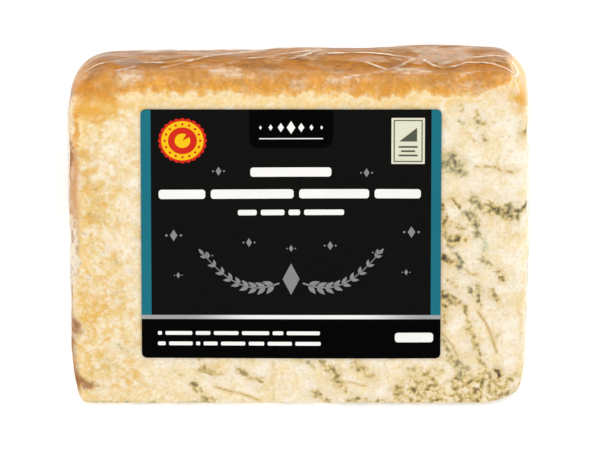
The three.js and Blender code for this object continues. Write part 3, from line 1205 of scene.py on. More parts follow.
@dataclass
class Cheese:
    """The cheese itself, just inside its film.

    Its spots lie by x and a distance: dusty ones below the rim, mauve and gilt ones down the rind, and
    the others from the tip's axis.
    """

    effects: Effects
    steps: Steps = Steps(corner=8, rind=106, face=150, tip=5, base=12, spacing=0.62, rings=34)
    film_gap: float = 0.22
    floor: float = 0.15
    band: float = 6.8
    thin_band: float = 3.4
    end_band: float = 9.0
    dusty: tuple[Spot, ...] = (
        Spot(-46.0, 0.0, 4.0, 4.5, 0.75),
        Spot(-19.0, 2.0, 4.5, 3.0, 0.8),
        Spot(-0.5, -3.0, 3.0, 2.0, 0.7),
        Spot(12.0, -2.0, 4.0, 2.0, 0.5),
        Spot(31.0, 4.0, 5.0, 4.0, 0.65),
        Spot(47.5, -4.8, 7.0, 2.4, 0.4),
    )
    sunny: tuple[Spot, ...] = (
        Spot(-55.8, 90.5, 6.5, 5.0, 1.7),
        Spot(-45.5, 92.5, 11.0, 4.5, 1.0),
        Spot(-54.0, 34.0, 7.0, 13.0, 0.45),
        Spot(-50.0, 12.0, 8.0, 6.0, 0.2),
        Spot(-57.6, 77.0, 2.8, 1.7, 0.9),
        Spot(-57.2, 71.0, 2.2, 1.7, 0.9),
        Spot(-56.0, 66.8, 3.2, 2.2, 0.9),
        Spot(-53.6, 62.5, 2.8, 1.6, 0.9),
        Spot(-56.4, 57.9, 3.2, 2.4, 0.9),
        Spot(60.0, 96.0, 3.8, 8.0, 1.9),
    )
    scabs: tuple[Spot, ...] = (
        Spot(-61.8, 75.5, 0.8, 4.5, 0.8),
        Spot(-60.6, 26.0, 1.7, 1.7, 0.65),
        Spot(-61.2, 11.5, 1.1, 3.6, 0.8),
        Spot(-60.0, 9.8, 1.5, 1.4, 0.85),
        Spot(-57.2, 8.5, 2.4, 1.1, 0.8),
        Spot(-61.6, 52.0, 0.8, 1.6, 0.5),
    )
    end_stain: Spot = Spot(-60.0, 84.0, 2.6, 6.5, 0.85)
    rim_stain: Spot = Spot(48.0, 97.0, 8.0, 4.5, 0.32)
    mauve_spot: Spot = Spot(-46.5, 14.0, 5.5, 5.0, 0.7)
    gilt_spot: Spot = Spot(50.0, 20.0, 7.0, 10.0, 0.75)
    needle_degrees: tuple[float, ...] = (5.5, 13.0, 19.5, 26.0, 32.0)

    def build(self) -> bpy.types.Object:
        """Makes the cheese, with its relief and the fields that its material reads.

        Returns:
            The cheese's object.
        """
        skin = FORM.skin(self.steps)
        fields = self.colour_fields(skin)
        height = body_relief(skin) - self.film_gap + self.fine_relief(skin, fields)
        points = skin.raised(height, self.floor)
        material = CheeseFinish(self.effects).material()
        made = make_piece("cheese", points, [skin.quads, skin.triangles], [material], fields)
        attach(made, "root")
        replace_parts(made, "wrapped_wedge")
        return made

    def colour_fields(self, skin: Skin) -> dict[str, Array]:
        """The numbers that place the rind, the golden band, the yellow paste and the veins.

        Args:
            skin: The smooth skin.

        Returns:
            A number for each point, by name.
        """
        points, x, from_tip = skin.points, skin.x, skin.from_tip
        soft, ragged = LatticeNoise(21), LatticeNoise(22)
        from_left = x + FORM.length / 2
        to_right = FORM.length / 2 - x
        drips = 1.7 * soft(points, 9) + 1.7 * ragged.octaves(points, (2.8, 10.0, 10.0), 2)
        band = self.thin_band + (self.band - self.thin_band) * smoothstep(to_right, 2, 26)
        end = from_left + 2.6 * soft(points, 13) + 2.0 * ragged.octaves(points, (5.0, 3.0, 3.0), 2)
        frayed = 0.6 * ragged.octaves(points + 60, 3.5)
        end_depth = end / self.end_band + 1.25 - self.end_stain.cover(x, from_tip, frayed, 0.0, 1.3)
        cut = 4.5 * fade(to_right, 0.5, 5.5)
        depth = np.minimum((FORM.radius + cut - from_tip + drips) / band, end_depth)
        frayed = 0.4 * ragged.octaves(points + 80, 3.5)
        depth -= self.rim_stain.cover(x, from_tip, frayed, 0.3, 1.2)
        yellow = 1.1 - smoothstep(end, 4, 30) + 0.35 * soft(points + 30, 9)
        frayed = 0.3 * soft(points, 5)
        for spot in self.sunny:
            yellow += spot.cover(x, from_tip, frayed, 0.4, 1.3)
        skinned = self.skinned(skin, ragged, soft)
        warm = self.warm_corner(skin)
        peach = skin.labelled * fade(from_left, 2, 5) * smoothstep(from_tip, 48, 56)
        vein, blue, halo = self.veins(skin)
        flat = np.maximum.reduce([skin.labelled, skin.on_cut_end, -skin.normals[:, 2]])
        clear = (1 - skinned) * smoothstep(depth, 0.7, 1.3) * smoothstep(flat, 0.1, 0.7)
        return {
            "depth": np.clip(depth, -0.5, 3),
            "yellow": np.clip(yellow, 0, 2),
            "skin": skinned,
            "streak": smoothstep(ragged.octaves(points + 20, (1.5, 7.0, 7.0)), -0.15, 0.55),
            "bloom": self.bloom(skin, warm),
            "mauve": self.mauve(skin, warm),
            "peach": 0.65 * peach,
            "scab": self.scabbed(skin),
            "warm": warm * (0.8 - 0.75 * smoothstep(from_tip, 96, 100)),
            "vein": np.clip(vein * clear, 0, 1.2),
            "blue": np.clip(blue, 0, 1),
            "halo": np.clip(halo * clear, 0, 0.6),
            "crack": np.clip(self.cracks(skin) * clear, 0, 1),
        }

    def skinned(self, skin: Skin, ragged: LatticeNoise, soft: LatticeNoise) -> Array:
        """How far each point is rind: the wheel's side and its end, up to a ragged edge.

        Args:
            skin: The smooth skin.
            ragged: The edge's fine noise.
            soft: Its broad noise.

        Returns:
            One number a point, from 0 to 1.
        """
        inward = FORM.inward(skin)
        uneven = 1.8 * ragged.octaves(skin.points, (2.8, 8.0, 8.0), 2) + 1.6 * soft(skin.points, 8)
        near_end = fade(skin.x + FORM.length / 2, 2, 8)
        to_cut = np.maximum(0, skin.normals[:, 0])
        under = (FORM.angle - skin.turn) * skin.from_tip - inward
        over = skin.turn * skin.from_tip - inward
        at = skin.from_tip + uneven
        worn = between(at, 77, 82, 93, 97)
        rubbed = between(at, 27, 30, 37, 40) + 0.45 * between(at, 11, 13, 21, 24)
        edge = under + (1 - 0.7 * near_end) * uneven + (1.3 - 4.5 * worn - 3.5 * rubbed) * near_end
        rim = smoothstep((edge + 2.5) / (10 - 6.8 * near_end), 0.0, 1.0)
        low_rim = smoothstep(over + 0.5 * uneven, -2.0, 2.0)
        turned = to_cut / (np.hypot(to_cut, np.maximum(0, skin.outward)) + 0.05)
        return rim * low_rim * fade(turned + 0.11 * uneven, 0.36, 0.66)

    def bloom(self, skin: Skin, warm: Array) -> Array:
        """How much pale bloom lies on the rind, most of it on the wheel's end.

        Args:
            skin: The smooth skin.
            warm: How far each point lies on the warm corner.

        Returns:
            One number a point, from 0 to 1.
        """
        noise = LatticeNoise(23)
        ragged = 0.45 * noise.octaves(skin.points, 4, 2)
        far = smoothstep(skin.down, 12, 30)
        side = (0.25 + 0.2 * far) * smoothstep(noise.octaves(skin.points, 9, 4), 0.1 - 0.2 * far, 0.5)
        for spot in self.dusty:
            side = np.maximum(side, spot.cover(skin.x, skin.below, ragged, 0.5, 1.2))
        patchy = smoothstep(noise.octaves(skin.points, 14), -0.35, 0.4)
        low = fade(skin.from_tip + 12 * noise.octaves(skin.points, 12, 3), 42, 64)
        outer = smoothstep(-skin.normals[:, 0] + 0.2 * ragged, 0.5 - 0.3 * low, 0.8 - 0.25 * low)
        mottled = 0.25 * noise.octaves(skin.points + 70, 5, 2)
        end = (0.25 + 0.4 * patchy + 0.3 * low + mottled) * outer
        rim = between(skin.from_tip + 8 * ragged, 36, 40, 54, 61)
        rim *= smoothstep(skin.normals[:, 2], -0.3, 0.1)
        rim *= smoothstep(0.6 * noise.octaves(skin.points + 30, 3.0, 2) - skin.normals[:, 0], 0.1, 0.35)
        end = np.maximum(end * (1 - warm), rim)
        near_rim = smoothstep(skin.below, -8, -5) * (1 - end)
        return np.clip(side * near_rim + end, 0, 1)

    @staticmethod
    def warm_corner(skin: Skin) -> Array:
        """Where the rind turns over to the wheel's end and stays amber, from 0 to 1.

        Args:
            skin: The smooth skin.

        Returns:
            One number a point, from 0 to 1.
        """
        near = fade(skin.x + FORM.length / 2, 9, 15)
        low = smoothstep(skin.down + 14 * LatticeNoise(26).octaves(skin.points, 9, 2), 12, 26)
        upward = smoothstep(skin.normals[:, 2], -0.35, -0.05)
        return near * smoothstep(skin.from_tip, 91, 95) * upward * (1 - low)

    def scabbed(self, skin: Skin) -> Array:
        """The brown scabs on the rim of the wheel's end.

        Args:
            skin: The smooth skin.

        Returns:
            One number a point, from 0 to 1.
        """
        ragged = 0.8 * LatticeNoise(25).octaves(skin.points, 1.6, 2)
        covers = [spot.cover(skin.x, skin.from_tip, ragged, 0.6, 1.2) for spot in self.scabs]
        return np.max(covers, axis=0) * skin.labelled

    def mauve(self, skin: Skin, warm: Array) -> Array:
        """How far the rind turns mauve, in patches.

        Args:
            skin: The smooth skin.
            warm: How far each point lies on the warm corner.

        Returns:
            One number a point, from 0 to 1.
        """
        noise = LatticeNoise(24)
        patchy = 0.4 * smoothstep(noise.octaves(skin.points, 12), 0.2, 0.6)
        patchy += smoothstep(skin.down, 12, 32) * (0.42 + 0.3 * noise.octaves(skin.points + 40, 6))
        rim = smoothstep(skin.from_tip + 12 * noise(skin.points, 10), 40, 66)
        end = skin.on_rinded_end * (0.3 + 0.3 * rim)
        gilt = self.gilt_spot.cover(skin.x, skin.down, 0.0, 0.6, 1.2)
        mauve = (patchy + end) * (1 - np.maximum(0.85 * warm, gilt))
        return np.clip(mauve + self.mauve_spot.cover(skin.x, skin.down, 0.0, 0.5, 1.2), 0, 0.8)

    def veins(self, skin: Skin) -> tuple[Array, Array, Array]:
        """The mould's strength and blueness at each point, and how strong its halo is.

        Args:
            skin: The smooth skin.

        Returns:
            The strength, the blueness and the halo.
        """
        points, x, from_tip = skin.points, skin.x, skin.from_tip
        noise, patchy, cells = LatticeNoise(31), LatticeNoise(32), CurdCells(33)
        warp = noise.warp(points, 7, shift=57)
        bent = points + 2.6 * warp
        seams = fade(cells.seam_distance(bent, 8.5), 0.1, 1.5)
        fine_seams = fade(cells.seam_distance(bent + 91, 3.8), 0.1, 0.9)
        patches = patchy.octaves(points, 13, 2)
        middle = fade(from_tip, 12, 80)
        gap = (FORM.angle - skin.turn) * from_tip
        near_face = np.maximum(skin.labelled, fade(gap, 0.5, 10) * smoothstep(from_tip, 5, 30))
        density = 0.2 + 0.5 * middle + 0.4 * smoothstep(x, -45, 50) + 0.6 * patches - 0.75 * near_face
        vein = seams * smoothstep(density, 0.5, 0.95)
        vein = np.maximum(vein, 0.85 * fine_seams * smoothstep(density, 0.8, 1.2))
        marbled = smoothstep(x + 4 * patches, 18, 40) * fade(from_tip + 2 * warp[:, 0], 9, 16)
        vein = np.maximum(vein, 0.55 * fine_seams * marbled * skin.labelled)
        low_edge = fade(from_tip + 0.9 * warp[:, 0], 2.4, 4.4)
        vein = np.maximum(vein, 0.55 * low_edge * skin.labelled)
        blue = 0.35 + 0.5 * noise(points, 16) + 0.3 * skin.on_cut_end - 0.4 * skin.labelled * marbled
        jitter = np.stack([patchy(points + k, 2.0) for k in (5, 55, 95)], axis=1)
        drawn, drawn_blue, halo = self.drawn(points + 0.75 * warp + 0.6 * jitter, FACE_VEINS)
        broken = 1.05 + 0.35 * patchy(points + 75, 2.8)
        drawn, halo = drawn * broken * skin.labelled, halo * broken * skin.labelled
        needle = self.needle_lines(skin, bent) * skin.on_cut_end
        blue = np.where(np.maximum(drawn, halo) > vein, drawn_blue, blue)
        vein = np.maximum.reduce([vein, drawn, needle])
        return vein, blue, np.maximum(0.65 * smoothstep(vein, 0.0, 0.6), (0.85 - 0.4 * blue) * halo)

    def drawn(self, points: Array, veins: Sequence[Vein]) -> tuple[Array, Array, Array]:
        """The strength and blueness of veins laid one by one on the labelled face.

        Args:
            points: Points near the face.
            veins: The veins.

        Returns:
            The strongest vein's strength at each point, its blueness, and its wider halo.
        """
        places = np.stack([points[:, 0], np.hypot(points[:, 1], points[:, 2])], axis=1)
        strength, halo, blue = (np.zeros(len(places)) for _ in range(3))
        for vein in veins:
            near = route_distance(places, vein.route)
            wide = vein.strength * np.exp(-((near / (0.8 + 1.1 * vein.width)) ** 2))
            blue = np.where(wide > halo, vein.blue, blue)
            halo = np.maximum(halo, wide)
            strength = np.maximum(strength, vein.strength * np.exp(-((near / (0.72 * vein.width)) ** 2)))
        return strength, blue, halo

    def needle_lines(self, skin: Skin, bent: Array) -> Array:
        """Mould along the needle holes that run out from the wheel's middle, on the cut end.

        Args:
            skin: The smooth skin.
            bent: The skin's points, bent aside.

        Returns:
            One number a point, from 0 to 1.
        """
        noise = LatticeNoise(34)
        turn = skin.turn + 0.004 * (bent - skin.points)[:, 1]
        strength = np.zeros(len(turn))
        for k, at in enumerate(np.radians(self.needle_degrees)):
            gap = np.abs(turn - at) * skin.from_tip
            line = fade(gap, 0.2, 1.8 + 0.5 * noise(skin.points + 9 * k, 8))
            broken = smoothstep(noise(skin.points + 40 * k, 11), -0.35, 0.15)
            strength = np.maximum(strength, line * (0.2 + 0.65 * broken))
        return strength * fade(skin.from_tip, 78, 92)

    def cracks(self, skin: Skin) -> Array:
        """The thin brown seams between curds, and the cracks laid one by one.

        Args:
            skin: The smooth skin.

        Returns:
            How strong the seams and cracks are at each point.
        """
        noise, cells = LatticeNoise(41), CurdCells(42)
        warp = noise.warp(skin.points, 6, shift=71)
        seams = fade(cells.seam_distance(skin.points + 3.2 * warp, 11), 0.1, 0.7)
        some = smoothstep(noise.octaves(skin.points, 15, 2), 0.1, 0.5)
        drawn, _, _ = self.drawn(skin.points + 0.25 * warp, FACE_CRACKS)
        return np.maximum((0.5 - 0.2 * skin.labelled) * seams * some, drawn * skin.labelled)

    def fine_relief(self, skin: Skin, fields: dict[str, Array]) -> Array:
        """Torn curd, seams and pits on the paste, and wrinkles and pits on the rind.

        Args:
            skin: The smooth skin.
            fields: The colour's numbers.

        Returns:
            One height a point, in millimetres.
        """
        grit, wrinkle = LatticeNoise(51), LatticeNoise(52)
        paste = 0.09 * grit.octaves(skin.points, 2.6) - 0.16 * fields["vein"] - 0.14 * fields["crack"]
        ridged = 1 - 2 * np.abs(wrinkle.octaves(skin.points, 5.5))
        rind = 0.16 * ridged - 0.12 * smoothstep(grit(skin.points + 13, 2.2), 0.3, 0.8)
        skinned = fields["skin"]
        return np.clip(paste * (1 - skinned) + rind * skinned, -0.5, 0.1)


# ---------------- the film


@dataclass(frozen=True)
class Crease:
    """A sharp crease of the film over the rind, along points of x and distance down the rind; its milky
    haze is partly real and partly a painted highlight.
    """

    route: Route
    width: float = 0.65
    height: float = 0.35
    haze_and_highlight: float = 0.74


RIND_CREASES: tuple[Crease, ...] = (
    Crease(((-57.7, 7.7), (-47.1, 10.4))),
    Crease(((-49.0, 2.2), (-44.1, 6.1)), 0.7),
    Crease(((-42.2, 9.8), (-36.0, 9.2), (-29.7, 9.7)), 1.27, 0.4, 0.72),
    Crease(((-37.0, 4.0), (-27.0, 11.4), (-15.2, 24.0), (-4.0, 33.0)), 0.68, 0.4, 0.78),
    Crease(((-21.0, 4.5), (-14.4, 12.4), (-6.3, 17.9), (3.0, 24.0)), 0.8),
    Crease(((-2.5, 14.4), (1.6, 17.9), (6.0, 25.3)), 0.8),
    Crease(((6.5, 12.4), (12.3, 11.4), (18.2, 9.5), (22.1, 5.2), (23.7, 3.7)), 0.83, 0.32, 0.6),
    Crease(((8.0, 20.0), (18.2, 20.0), (30.2, 15.4)), 1.0),
    Crease(
        ((12.3, -0.8), (16.3, 0.0), (21.0, 1.4), (24.2, 3.4), (26.7, 6.9), (31.2, 14.4)), 0.75, 0.4, 0.62
    ),
    Crease(((31.2, 14.4), (33.4, 14.2), (36.5, 8.2), (38.9, 5.6), (42.5, 7.1)), 0.75, 0.4, 0.68),
    Crease(((42.5, 7.1), (45.2, 9.7), (49.3, 8.6), (53.1, 6.1), (58.0, 3.0)), 0.75, 0.4, 0.62),
    Crease(((43.5, 0.2), (46.5, 1.6), (49.3, 1.9)), 0.8),
    Crease(((45.0, 14.0), (49.3, 14.4), (55.8, 15.5)), 0.98, 0.32, 0.62),
    Crease(((57.6, 14.0), (59.0, 5.0), (58.0, -0.6)), 0.8),
    Crease(((58.5, 3.5), (58.3, -1.6), (59.2, -6.0)), 0.55, 0.3, 0.7),
    Crease(((58.3, -1.4), (54.7, -3.6), (51.8, -5.9)), 0.7, 0.3, 0.65),
    Crease(((53.4, -8.0), (57.0, -8.6), (60.8, -7.6)), 0.45, 0.25, 0.6),
    Crease(((53.9, -9.4), (57.4, -9.6), (60.2, -9.2)), 0.4, 0.2, 0.6),
    Crease(((53.2, -5.6), (53.4, -9.4)), 0.4, 0.2, 0.55),
    Crease(((56.0, -3.5), (60.6, -4.6)), 0.4, 0.2, 0.5),
    Crease(((53.6, -7.0), (57.0, -4.6), (60.4, -6.4)), 1.5, 0.2, 0.5),
    Crease(((54.0, -10.2), (57.4, -8.8), (60.6, -10.4)), 1.3, 0.2, 0.42),
    Crease(((60.4, 4.0), (60.8, -3.0), (61.0, -9.0)), 0.6, 0.2, 0.6),
    Crease(((49.8, -10.5), (54.2, -15.0), (57.0, -20.0)), 0.4, 0.15, 0.3),
    Crease(((-45.6, -9.0), (-45.4, -40.0), (-45.1, -78.0)), 0.55, 0.1, 0.2),
    Crease(((-43.9, -13.0), (-43.8, -46.0)), 0.4, 0.1, 0.18),
    Crease(((2.7, -1.2), (-1.6, -9.2)), 0.34, 0.12, 0.22),
    Crease(((-58.0, 30.0), (-30.0, 36.0), (-2.0, 33.0), (26.0, 38.0), (58.0, 31.0)), 0.7, 0.4, 0.38),
    Crease(((-50.0, 14.0), (-38.0, 27.0), (-22.0, 40.0), (-12.0, 55.0)), 0.7, 0.4, 0.4),
    Crease(((-58.0, 50.0), (-34.0, 46.0), (-14.0, 52.0), (8.0, 47.0)), 0.6, 0.4, 0.38),
    Crease(((14.0, 62.0), (28.0, 50.0), (44.0, 44.0), (59.0, 46.0)), 0.7, 0.4, 0.4),
    Crease(((-4.0, 41.0), (14.0, 52.0), (36.0, 60.0)), 0.6, 0.4, 0.4),
    Crease(((34.0, 24.0), (46.0, 32.0), (59.0, 36.0)), 0.65, 0.4, 0.4),
)


# Patches over the rind where the film is painted milky, as a painted reflection of the bright room, by x
# and distance down the rind.
REFLECTION_VEILS: tuple[Spot, ...] = (
    Spot(38.5, 18.0, 11.0, 10.0, 0.33),
    Spot(18.5, 14.0, 7.0, 3.5, 0.27),
    Spot(-46.5, 14.5, 6.0, 4.5, 0.12),
    Spot(-50.0, 24.0, 6.0, 5.0, 0.2),
    Spot(-24.0, 21.0, 9.0, 5.0, 0.12),
    Spot(52.0, 11.0, 6.0, 3.0, 0.16),
    Spot(0.0, 24.0, 12.0, 6.0, 0.12),
    Spot(-20.0, 44.0, 16.0, 7.0, 0.12),
    Spot(34.0, 46.0, 14.0, 8.0, 0.13),
)


# The pleats of the film over each end, by y and z.
END_PLEATS: tuple[Route, ...] = (
    ((92, 20), (70, 14), (48, 8)),
    ((80, 50), (62, 30), (44, 14)),
    ((62, 46), (48, 26), (34, 10)),
    ((40, 28), (33, 16), (26, 6)),
    ((96, 8), (74, 5), (52, 3)),
    ((88, 36), (68, 22), (50, 13)),
    ((72, 55), (60, 40), (52, 27)),
)


@dataclass
class Film:
    """The clear film round the cheese, with its folds and creases."""

    effects: Effects
    steps: Steps = Steps(corner=9, rind=150, face=84, tip=5, base=8, spacing=0.66, rings=30)

    def build(self) -> bpy.types.Object:
        """Makes the film.

        Returns:
            The film's object.
        """
        skin = FORM.skin(self.steps)
        height, haze_and_highlight = self.creases(skin)
        points = skin.raised(body_relief(skin) + height, 0.0)
        low, high = (np.array(corner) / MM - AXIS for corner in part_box("wrapped_wedge"))
        points = np.clip(points, low, high)
        material = FilmFinish(self.effects).material()
        made = make_piece("film", points, [skin.quads, skin.triangles], [material], {"haze_and_highlight": haze_and_highlight})
        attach(made, "root")
        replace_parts(made, "wrapped_wedge")
        return made

    def creases(self, skin: Skin) -> tuple[Array, Array]:
        """The relief of folds and creases, and how milky they make the film, the milk partly real and
        partly painted highlights and painted reflections.

        Args:
            skin: The smooth skin.

        Returns:
            A height in millimetres and a share from 0 to 1 for each point.
        """
        bend = LatticeNoise(61)
        faint = 0.35 + 0.65 * smoothstep(bend.octaves(skin.points + 25, 8, 2), -0.4, 0.2)
        over_rim = fade(np.abs(skin.x), 60.6, 61.4)
        places = np.stack([skin.x, skin.below], axis=1)
        places = places + 0.5 * np.stack([bend(skin.points, 5), bend(skin.points + 50, 5)], axis=1)
        height, haze_and_highlight = np.zeros(len(places)), np.zeros(len(places))
        # Milky haze along each crease: partly real, partly a painted highlight.
        for crease in RIND_CREASES:
            near = route_distance(places, crease.route)
            line = np.maximum(0, 1 - near / crease.width)
            height = np.maximum(height, crease.height * line)
            haze_and_highlight = np.maximum(haze_and_highlight, crease.haze_and_highlight * smoothstep(line, 0.15, 0.85))
        height, haze_and_highlight = height * over_rim, haze_and_highlight * over_rim * faint
        ragged = 0.5 * bend.octaves(skin.points, 5)
        # Painted reflections: milky patches over the rind.
        for reflection_veil in REFLECTION_VEILS:
            haze_and_highlight = np.maximum(haze_and_highlight, reflection_veil.cover(skin.x, skin.down, ragged, 0.5, 1.1) * skin.on_rind)
        wrinkles = self.wrinkles(skin)
        pleats = self.pleats(skin)
        height = height + 0.25 * wrinkles + 0.5 * pleats
        # Milky haze on wrinkles and pleats: partly real, partly a painted highlight.
        haze_and_highlight = haze_and_highlight + 0.12 * smoothstep(wrinkles, 0.55, 1.0) + 0.35 * smoothstep(pleats, 0.3, 0.9)
        return height, np.clip(haze_and_highlight, 0, 0.9)

    def wrinkles(self, skin: Skin) -> Array:
        """Fine wrinkles that run along the rind, from 0 to 1.

        Args:
            skin: The smooth skin.

        Returns:
            One number a point, from 0 to 1.
        """
        noise = LatticeNoise(62)
        places = np.stack([skin.x / 7, skin.down / 1.6, 0 * skin.x], axis=1)
        places[:, 1] += 1.2 * noise(skin.points, 22)
        ridge = np.maximum(0, 1 - 4.5 * np.abs(noise(places, 1.6)))
        patches = smoothstep(noise(skin.points + 90, 15), -0.1, 0.4)
        return ridge * patches * skin.on_rind

    def pleats(self, skin: Skin) -> Array:
        """The pleats of the film where it is folded in over both ends, from 0 to 1.

        Args:
            skin: The smooth skin.

        Returns:
            One number a point, from 0 to 1.
        """
        noise = LatticeNoise(63)
        y, z = skin.points[:, 1], skin.points[:, 2]
        places = np.stack([y + 0.8 * noise(skin.points, 7), z + 0.8 * noise(skin.points + 60, 7)], axis=1)
        height = np.zeros(len(places))
        for k, route in enumerate(END_PLEATS):
            width = 0.8 + 0.35 * (k % 3)
            height = np.maximum(height, np.maximum(0, 1 - route_distance(places, route) / width))
        return height * smoothstep(np.abs(skin.normals[:, 0]), 0.93, 0.99)


# ---------------- the label


@dataclass
class InkLayer:
    """Thin printed shapes of one colour, laid over the label at one height."""

    ink: Ink
    lift: float
    thickness: float = 0.03
    points: list[Array] = field(default_factory=list)
    faces: list[list[int]] = field(default_factory=list)
    count: int = 0

    def add(self, points: Array, faces: Iterable[Sequence[int]]) -> None:
        """Adds points and faces, which count from the shape's own first point.

        Args:
            points: Rows of x, y and z.
            faces: Each face's corners.
        """
        self.points.append(points)
        self.faces.extend([self.count + int(k) for k in face] for face in faces)
        self.count += len(points)

    def shape(self, outline: Array) -> None:
        """Adds a flat shape with straight walls.

        Args:
            outline: Its corners as rows of u and v, anticlockwise.
        """
        size = len(outline)
        low = LABEL.place(outline, self.lift)
        high = LABEL.place(outline, self.lift + self.thickness)
        walls = [[k, (k + 1) % size, size + (k + 1) % size, size + k] for k in range(size)]
        faces = [list(range(size))[::-1], list(range(size, 2 * size)), *walls]
        self.add(np.concatenate([low, high]), faces)

    def ring(self, centre: Point, inner: float, outer: float, steps: int) -> None:
        """Adds a flat ring with straight walls.

        Args:
            centre: Its middle, in u and v.
            inner: Its inner radius.
            outer: Its outer radius.
            steps: How many corners each edge has.
        """
        way = around(np.linspace(0, 2 * np.pi, steps, endpoint=False))
        rows = []
        for size, lift in ((inner, 0.0), (outer, 0.0), (outer, self.thickness), (inner, self.thickness)):
            rows.append(LABEL.place(np.array(centre) + size * way, self.lift + lift))
        faces = []
        for row in range(4):
            for k in range(steps):
                a, b = row * steps + k, row * steps + (k + 1) % steps
                c, d = (a + steps) % (4 * steps), (b + steps) % (4 * steps)
                faces.append([a, b, d, c][::-1])
        self.add(np.concatenate(rows), faces)

    def plate(
        self,
        left: float,
        right: float,
        low: float,
        high: float,
        corners: Sequence[float] = (0, 0, 0, 0),
    ) -> None:
        """Adds a rectangle as a lattice that follows the face, with rounded corners if wanted.

        Args:
            left: Its left edge.
            right: Its right edge.
            low: Its low edge.
            high: Its high edge.
            corners: The radii of its low left, low right, high right and high left corners.
        """
        low_left, low_right, high_right, high_left = corners
        shares = np.linspace(0, 1, 6) ** 2
        rows = np.concatenate([
            low + shares * max(low_left, low_right),
            np.linspace(low, high, max(2, round((high - low) / 5)) + 1),
            high - shares * max(high_left, high_right),
        ])
        rows = np.unique(rows.round(6))
        across = max(1, round((right - left) / 6)) + 1
        sheet = []
        for v in rows:
            start = left + (cut_in(low_left, v - low) + cut_in(high_left, high - v))
            stop = right - (cut_in(low_right, v - low) + cut_in(high_right, high - v))
            sheet.append(np.column_stack([np.linspace(start, stop, across), np.full(across, v)]))
        flat = np.concatenate(sheet)
        under = LABEL.place(flat, self.lift)
        over = LABEL.place(flat, self.lift + self.thickness)
        self.add(np.concatenate([under, over]), self.lattice(len(rows), across))

    @staticmethod
    def lattice(rows: int, across: int) -> list[list[int]]:
        """The faces of a closed plate made of two layers of rows.

        Args:
            rows: How many rows a layer has.
            across: How many points a row has.

        Returns:
            Each face's corners, counted through the lower layer and then the upper one.
        """
        layer, faces = rows * across, []
        for row in range(rows - 1):
            for k in range(across - 1):
                a = row * across + k
                faces.append([a, a + across, a + across + 1, a + 1])
                faces.append([layer + a, layer + a + 1, layer + a + across + 1, layer + a + across])
            left, right = row * across, row * across + across - 1
            faces.append([left, left + layer, left + layer + across, left + across])
            faces.append([right, right + across, right + across + layer, right + layer])
        for k in range(across - 1):
            far = (rows - 1) * across + k
            faces.append([k, k + 1, k + 1 + layer, k + layer])
            faces.append([far, far + layer, far + 1 + layer, far + 1])
        return faces


def circle(centre: Point, radius: float, steps: int, scallops: int = 0, depth: float = 0.0) -> Array:
    """A round outline, with scallops round its edge if wanted.

    Args:
        centre: Its middle.
        radius: Its outer radius.
        steps: How many corners it has.
        scallops: How many scallops it has.
        depth: How deep they are.

    Returns:
        Rows of u and v, anticlockwise.
    """
    turns = np.linspace(0, 2 * np.pi, steps, endpoint=False)
    size = radius - depth * (1 - np.abs(np.cos(turns * scallops / 2)))
    return np.array(centre) + size[:, None] * around(turns)


def leaf(foot: Point, length: float, width: float, turn: float) -> Array:
    """A pointed leaf's outline, from its foot along a direction.

    Args:
        foot: Where it starts, in u and v.
        length: How long it is.
        width: How wide it is.
        turn: The way it points, in radians.

    Returns:
        Rows of u and v, anticlockwise.
    """
    along = np.linspace(0, 1, 7)
    half = width / 2 * np.sin(np.pi * along**0.8)
    edge = np.concatenate([
        np.stack([along * length, -half], axis=1),
        np.stack([along * length, half], axis=1)[-2:0:-1],
    ])
    spin = np.array([[math.cos(turn), math.sin(turn)], [-math.sin(turn), math.cos(turn)]])
    return np.array(foot) + edge @ spin


def lozenge(centre: Point, half_width: float, half_height: float) -> Array:
    """A lozenge's outline."""
    corners = [(half_width, 0), (0, half_height), (-half_width, 0), (0, -half_height)]
    return np.array(centre) + np.array(corners, float)


# Each row of bars: its left end, its low edge, the bars' height and the width of each bar.
BAR_ROWS: tuple[tuple[float, float, float, tuple[float, ...]], ...] = (
    (-11.0, 53.5, 2.7, (21.9,)),
    (-35.8, 47.1, 2.7, (12.6, 22.4, 18.9, 12.5)),
    (-14.4, 42.2, 1.6, (5.1, 6.4, 3.1, 10.8)),
    (-36.2, 6.9, 1.1, (1.1, 7.3, 4.0, 6.7, 7.4, 2.9, 9.0)),
    (-36.2, 3.8, 1.1, (2.1, 6.4, 1.1, 3.8, 6.6, 4.2, 6.6, 6.9)),
    (28.2, 4.8, 2.8, (10.4,)),
)

# The scattered small lozenges: u, v and half height.
SCATTERED: tuple[tuple[float, float, float], ...] = (
    (-31.8, 36.4, 1.7), (32.6, 37.2, 1.7), (-22.6, 30.4, 1.1), (23.4, 31.2, 1.1),
    (-11.4, 34.2, 1.3), (10.6, 33.2, 1.3), (-30.6, 24.6, 0.9), (31.2, 25.4, 0.9),
    (0.0, 32.4, 1.0), (-19.6, 55.2, 1.3), (20.4, 54.6, 1.3),
)


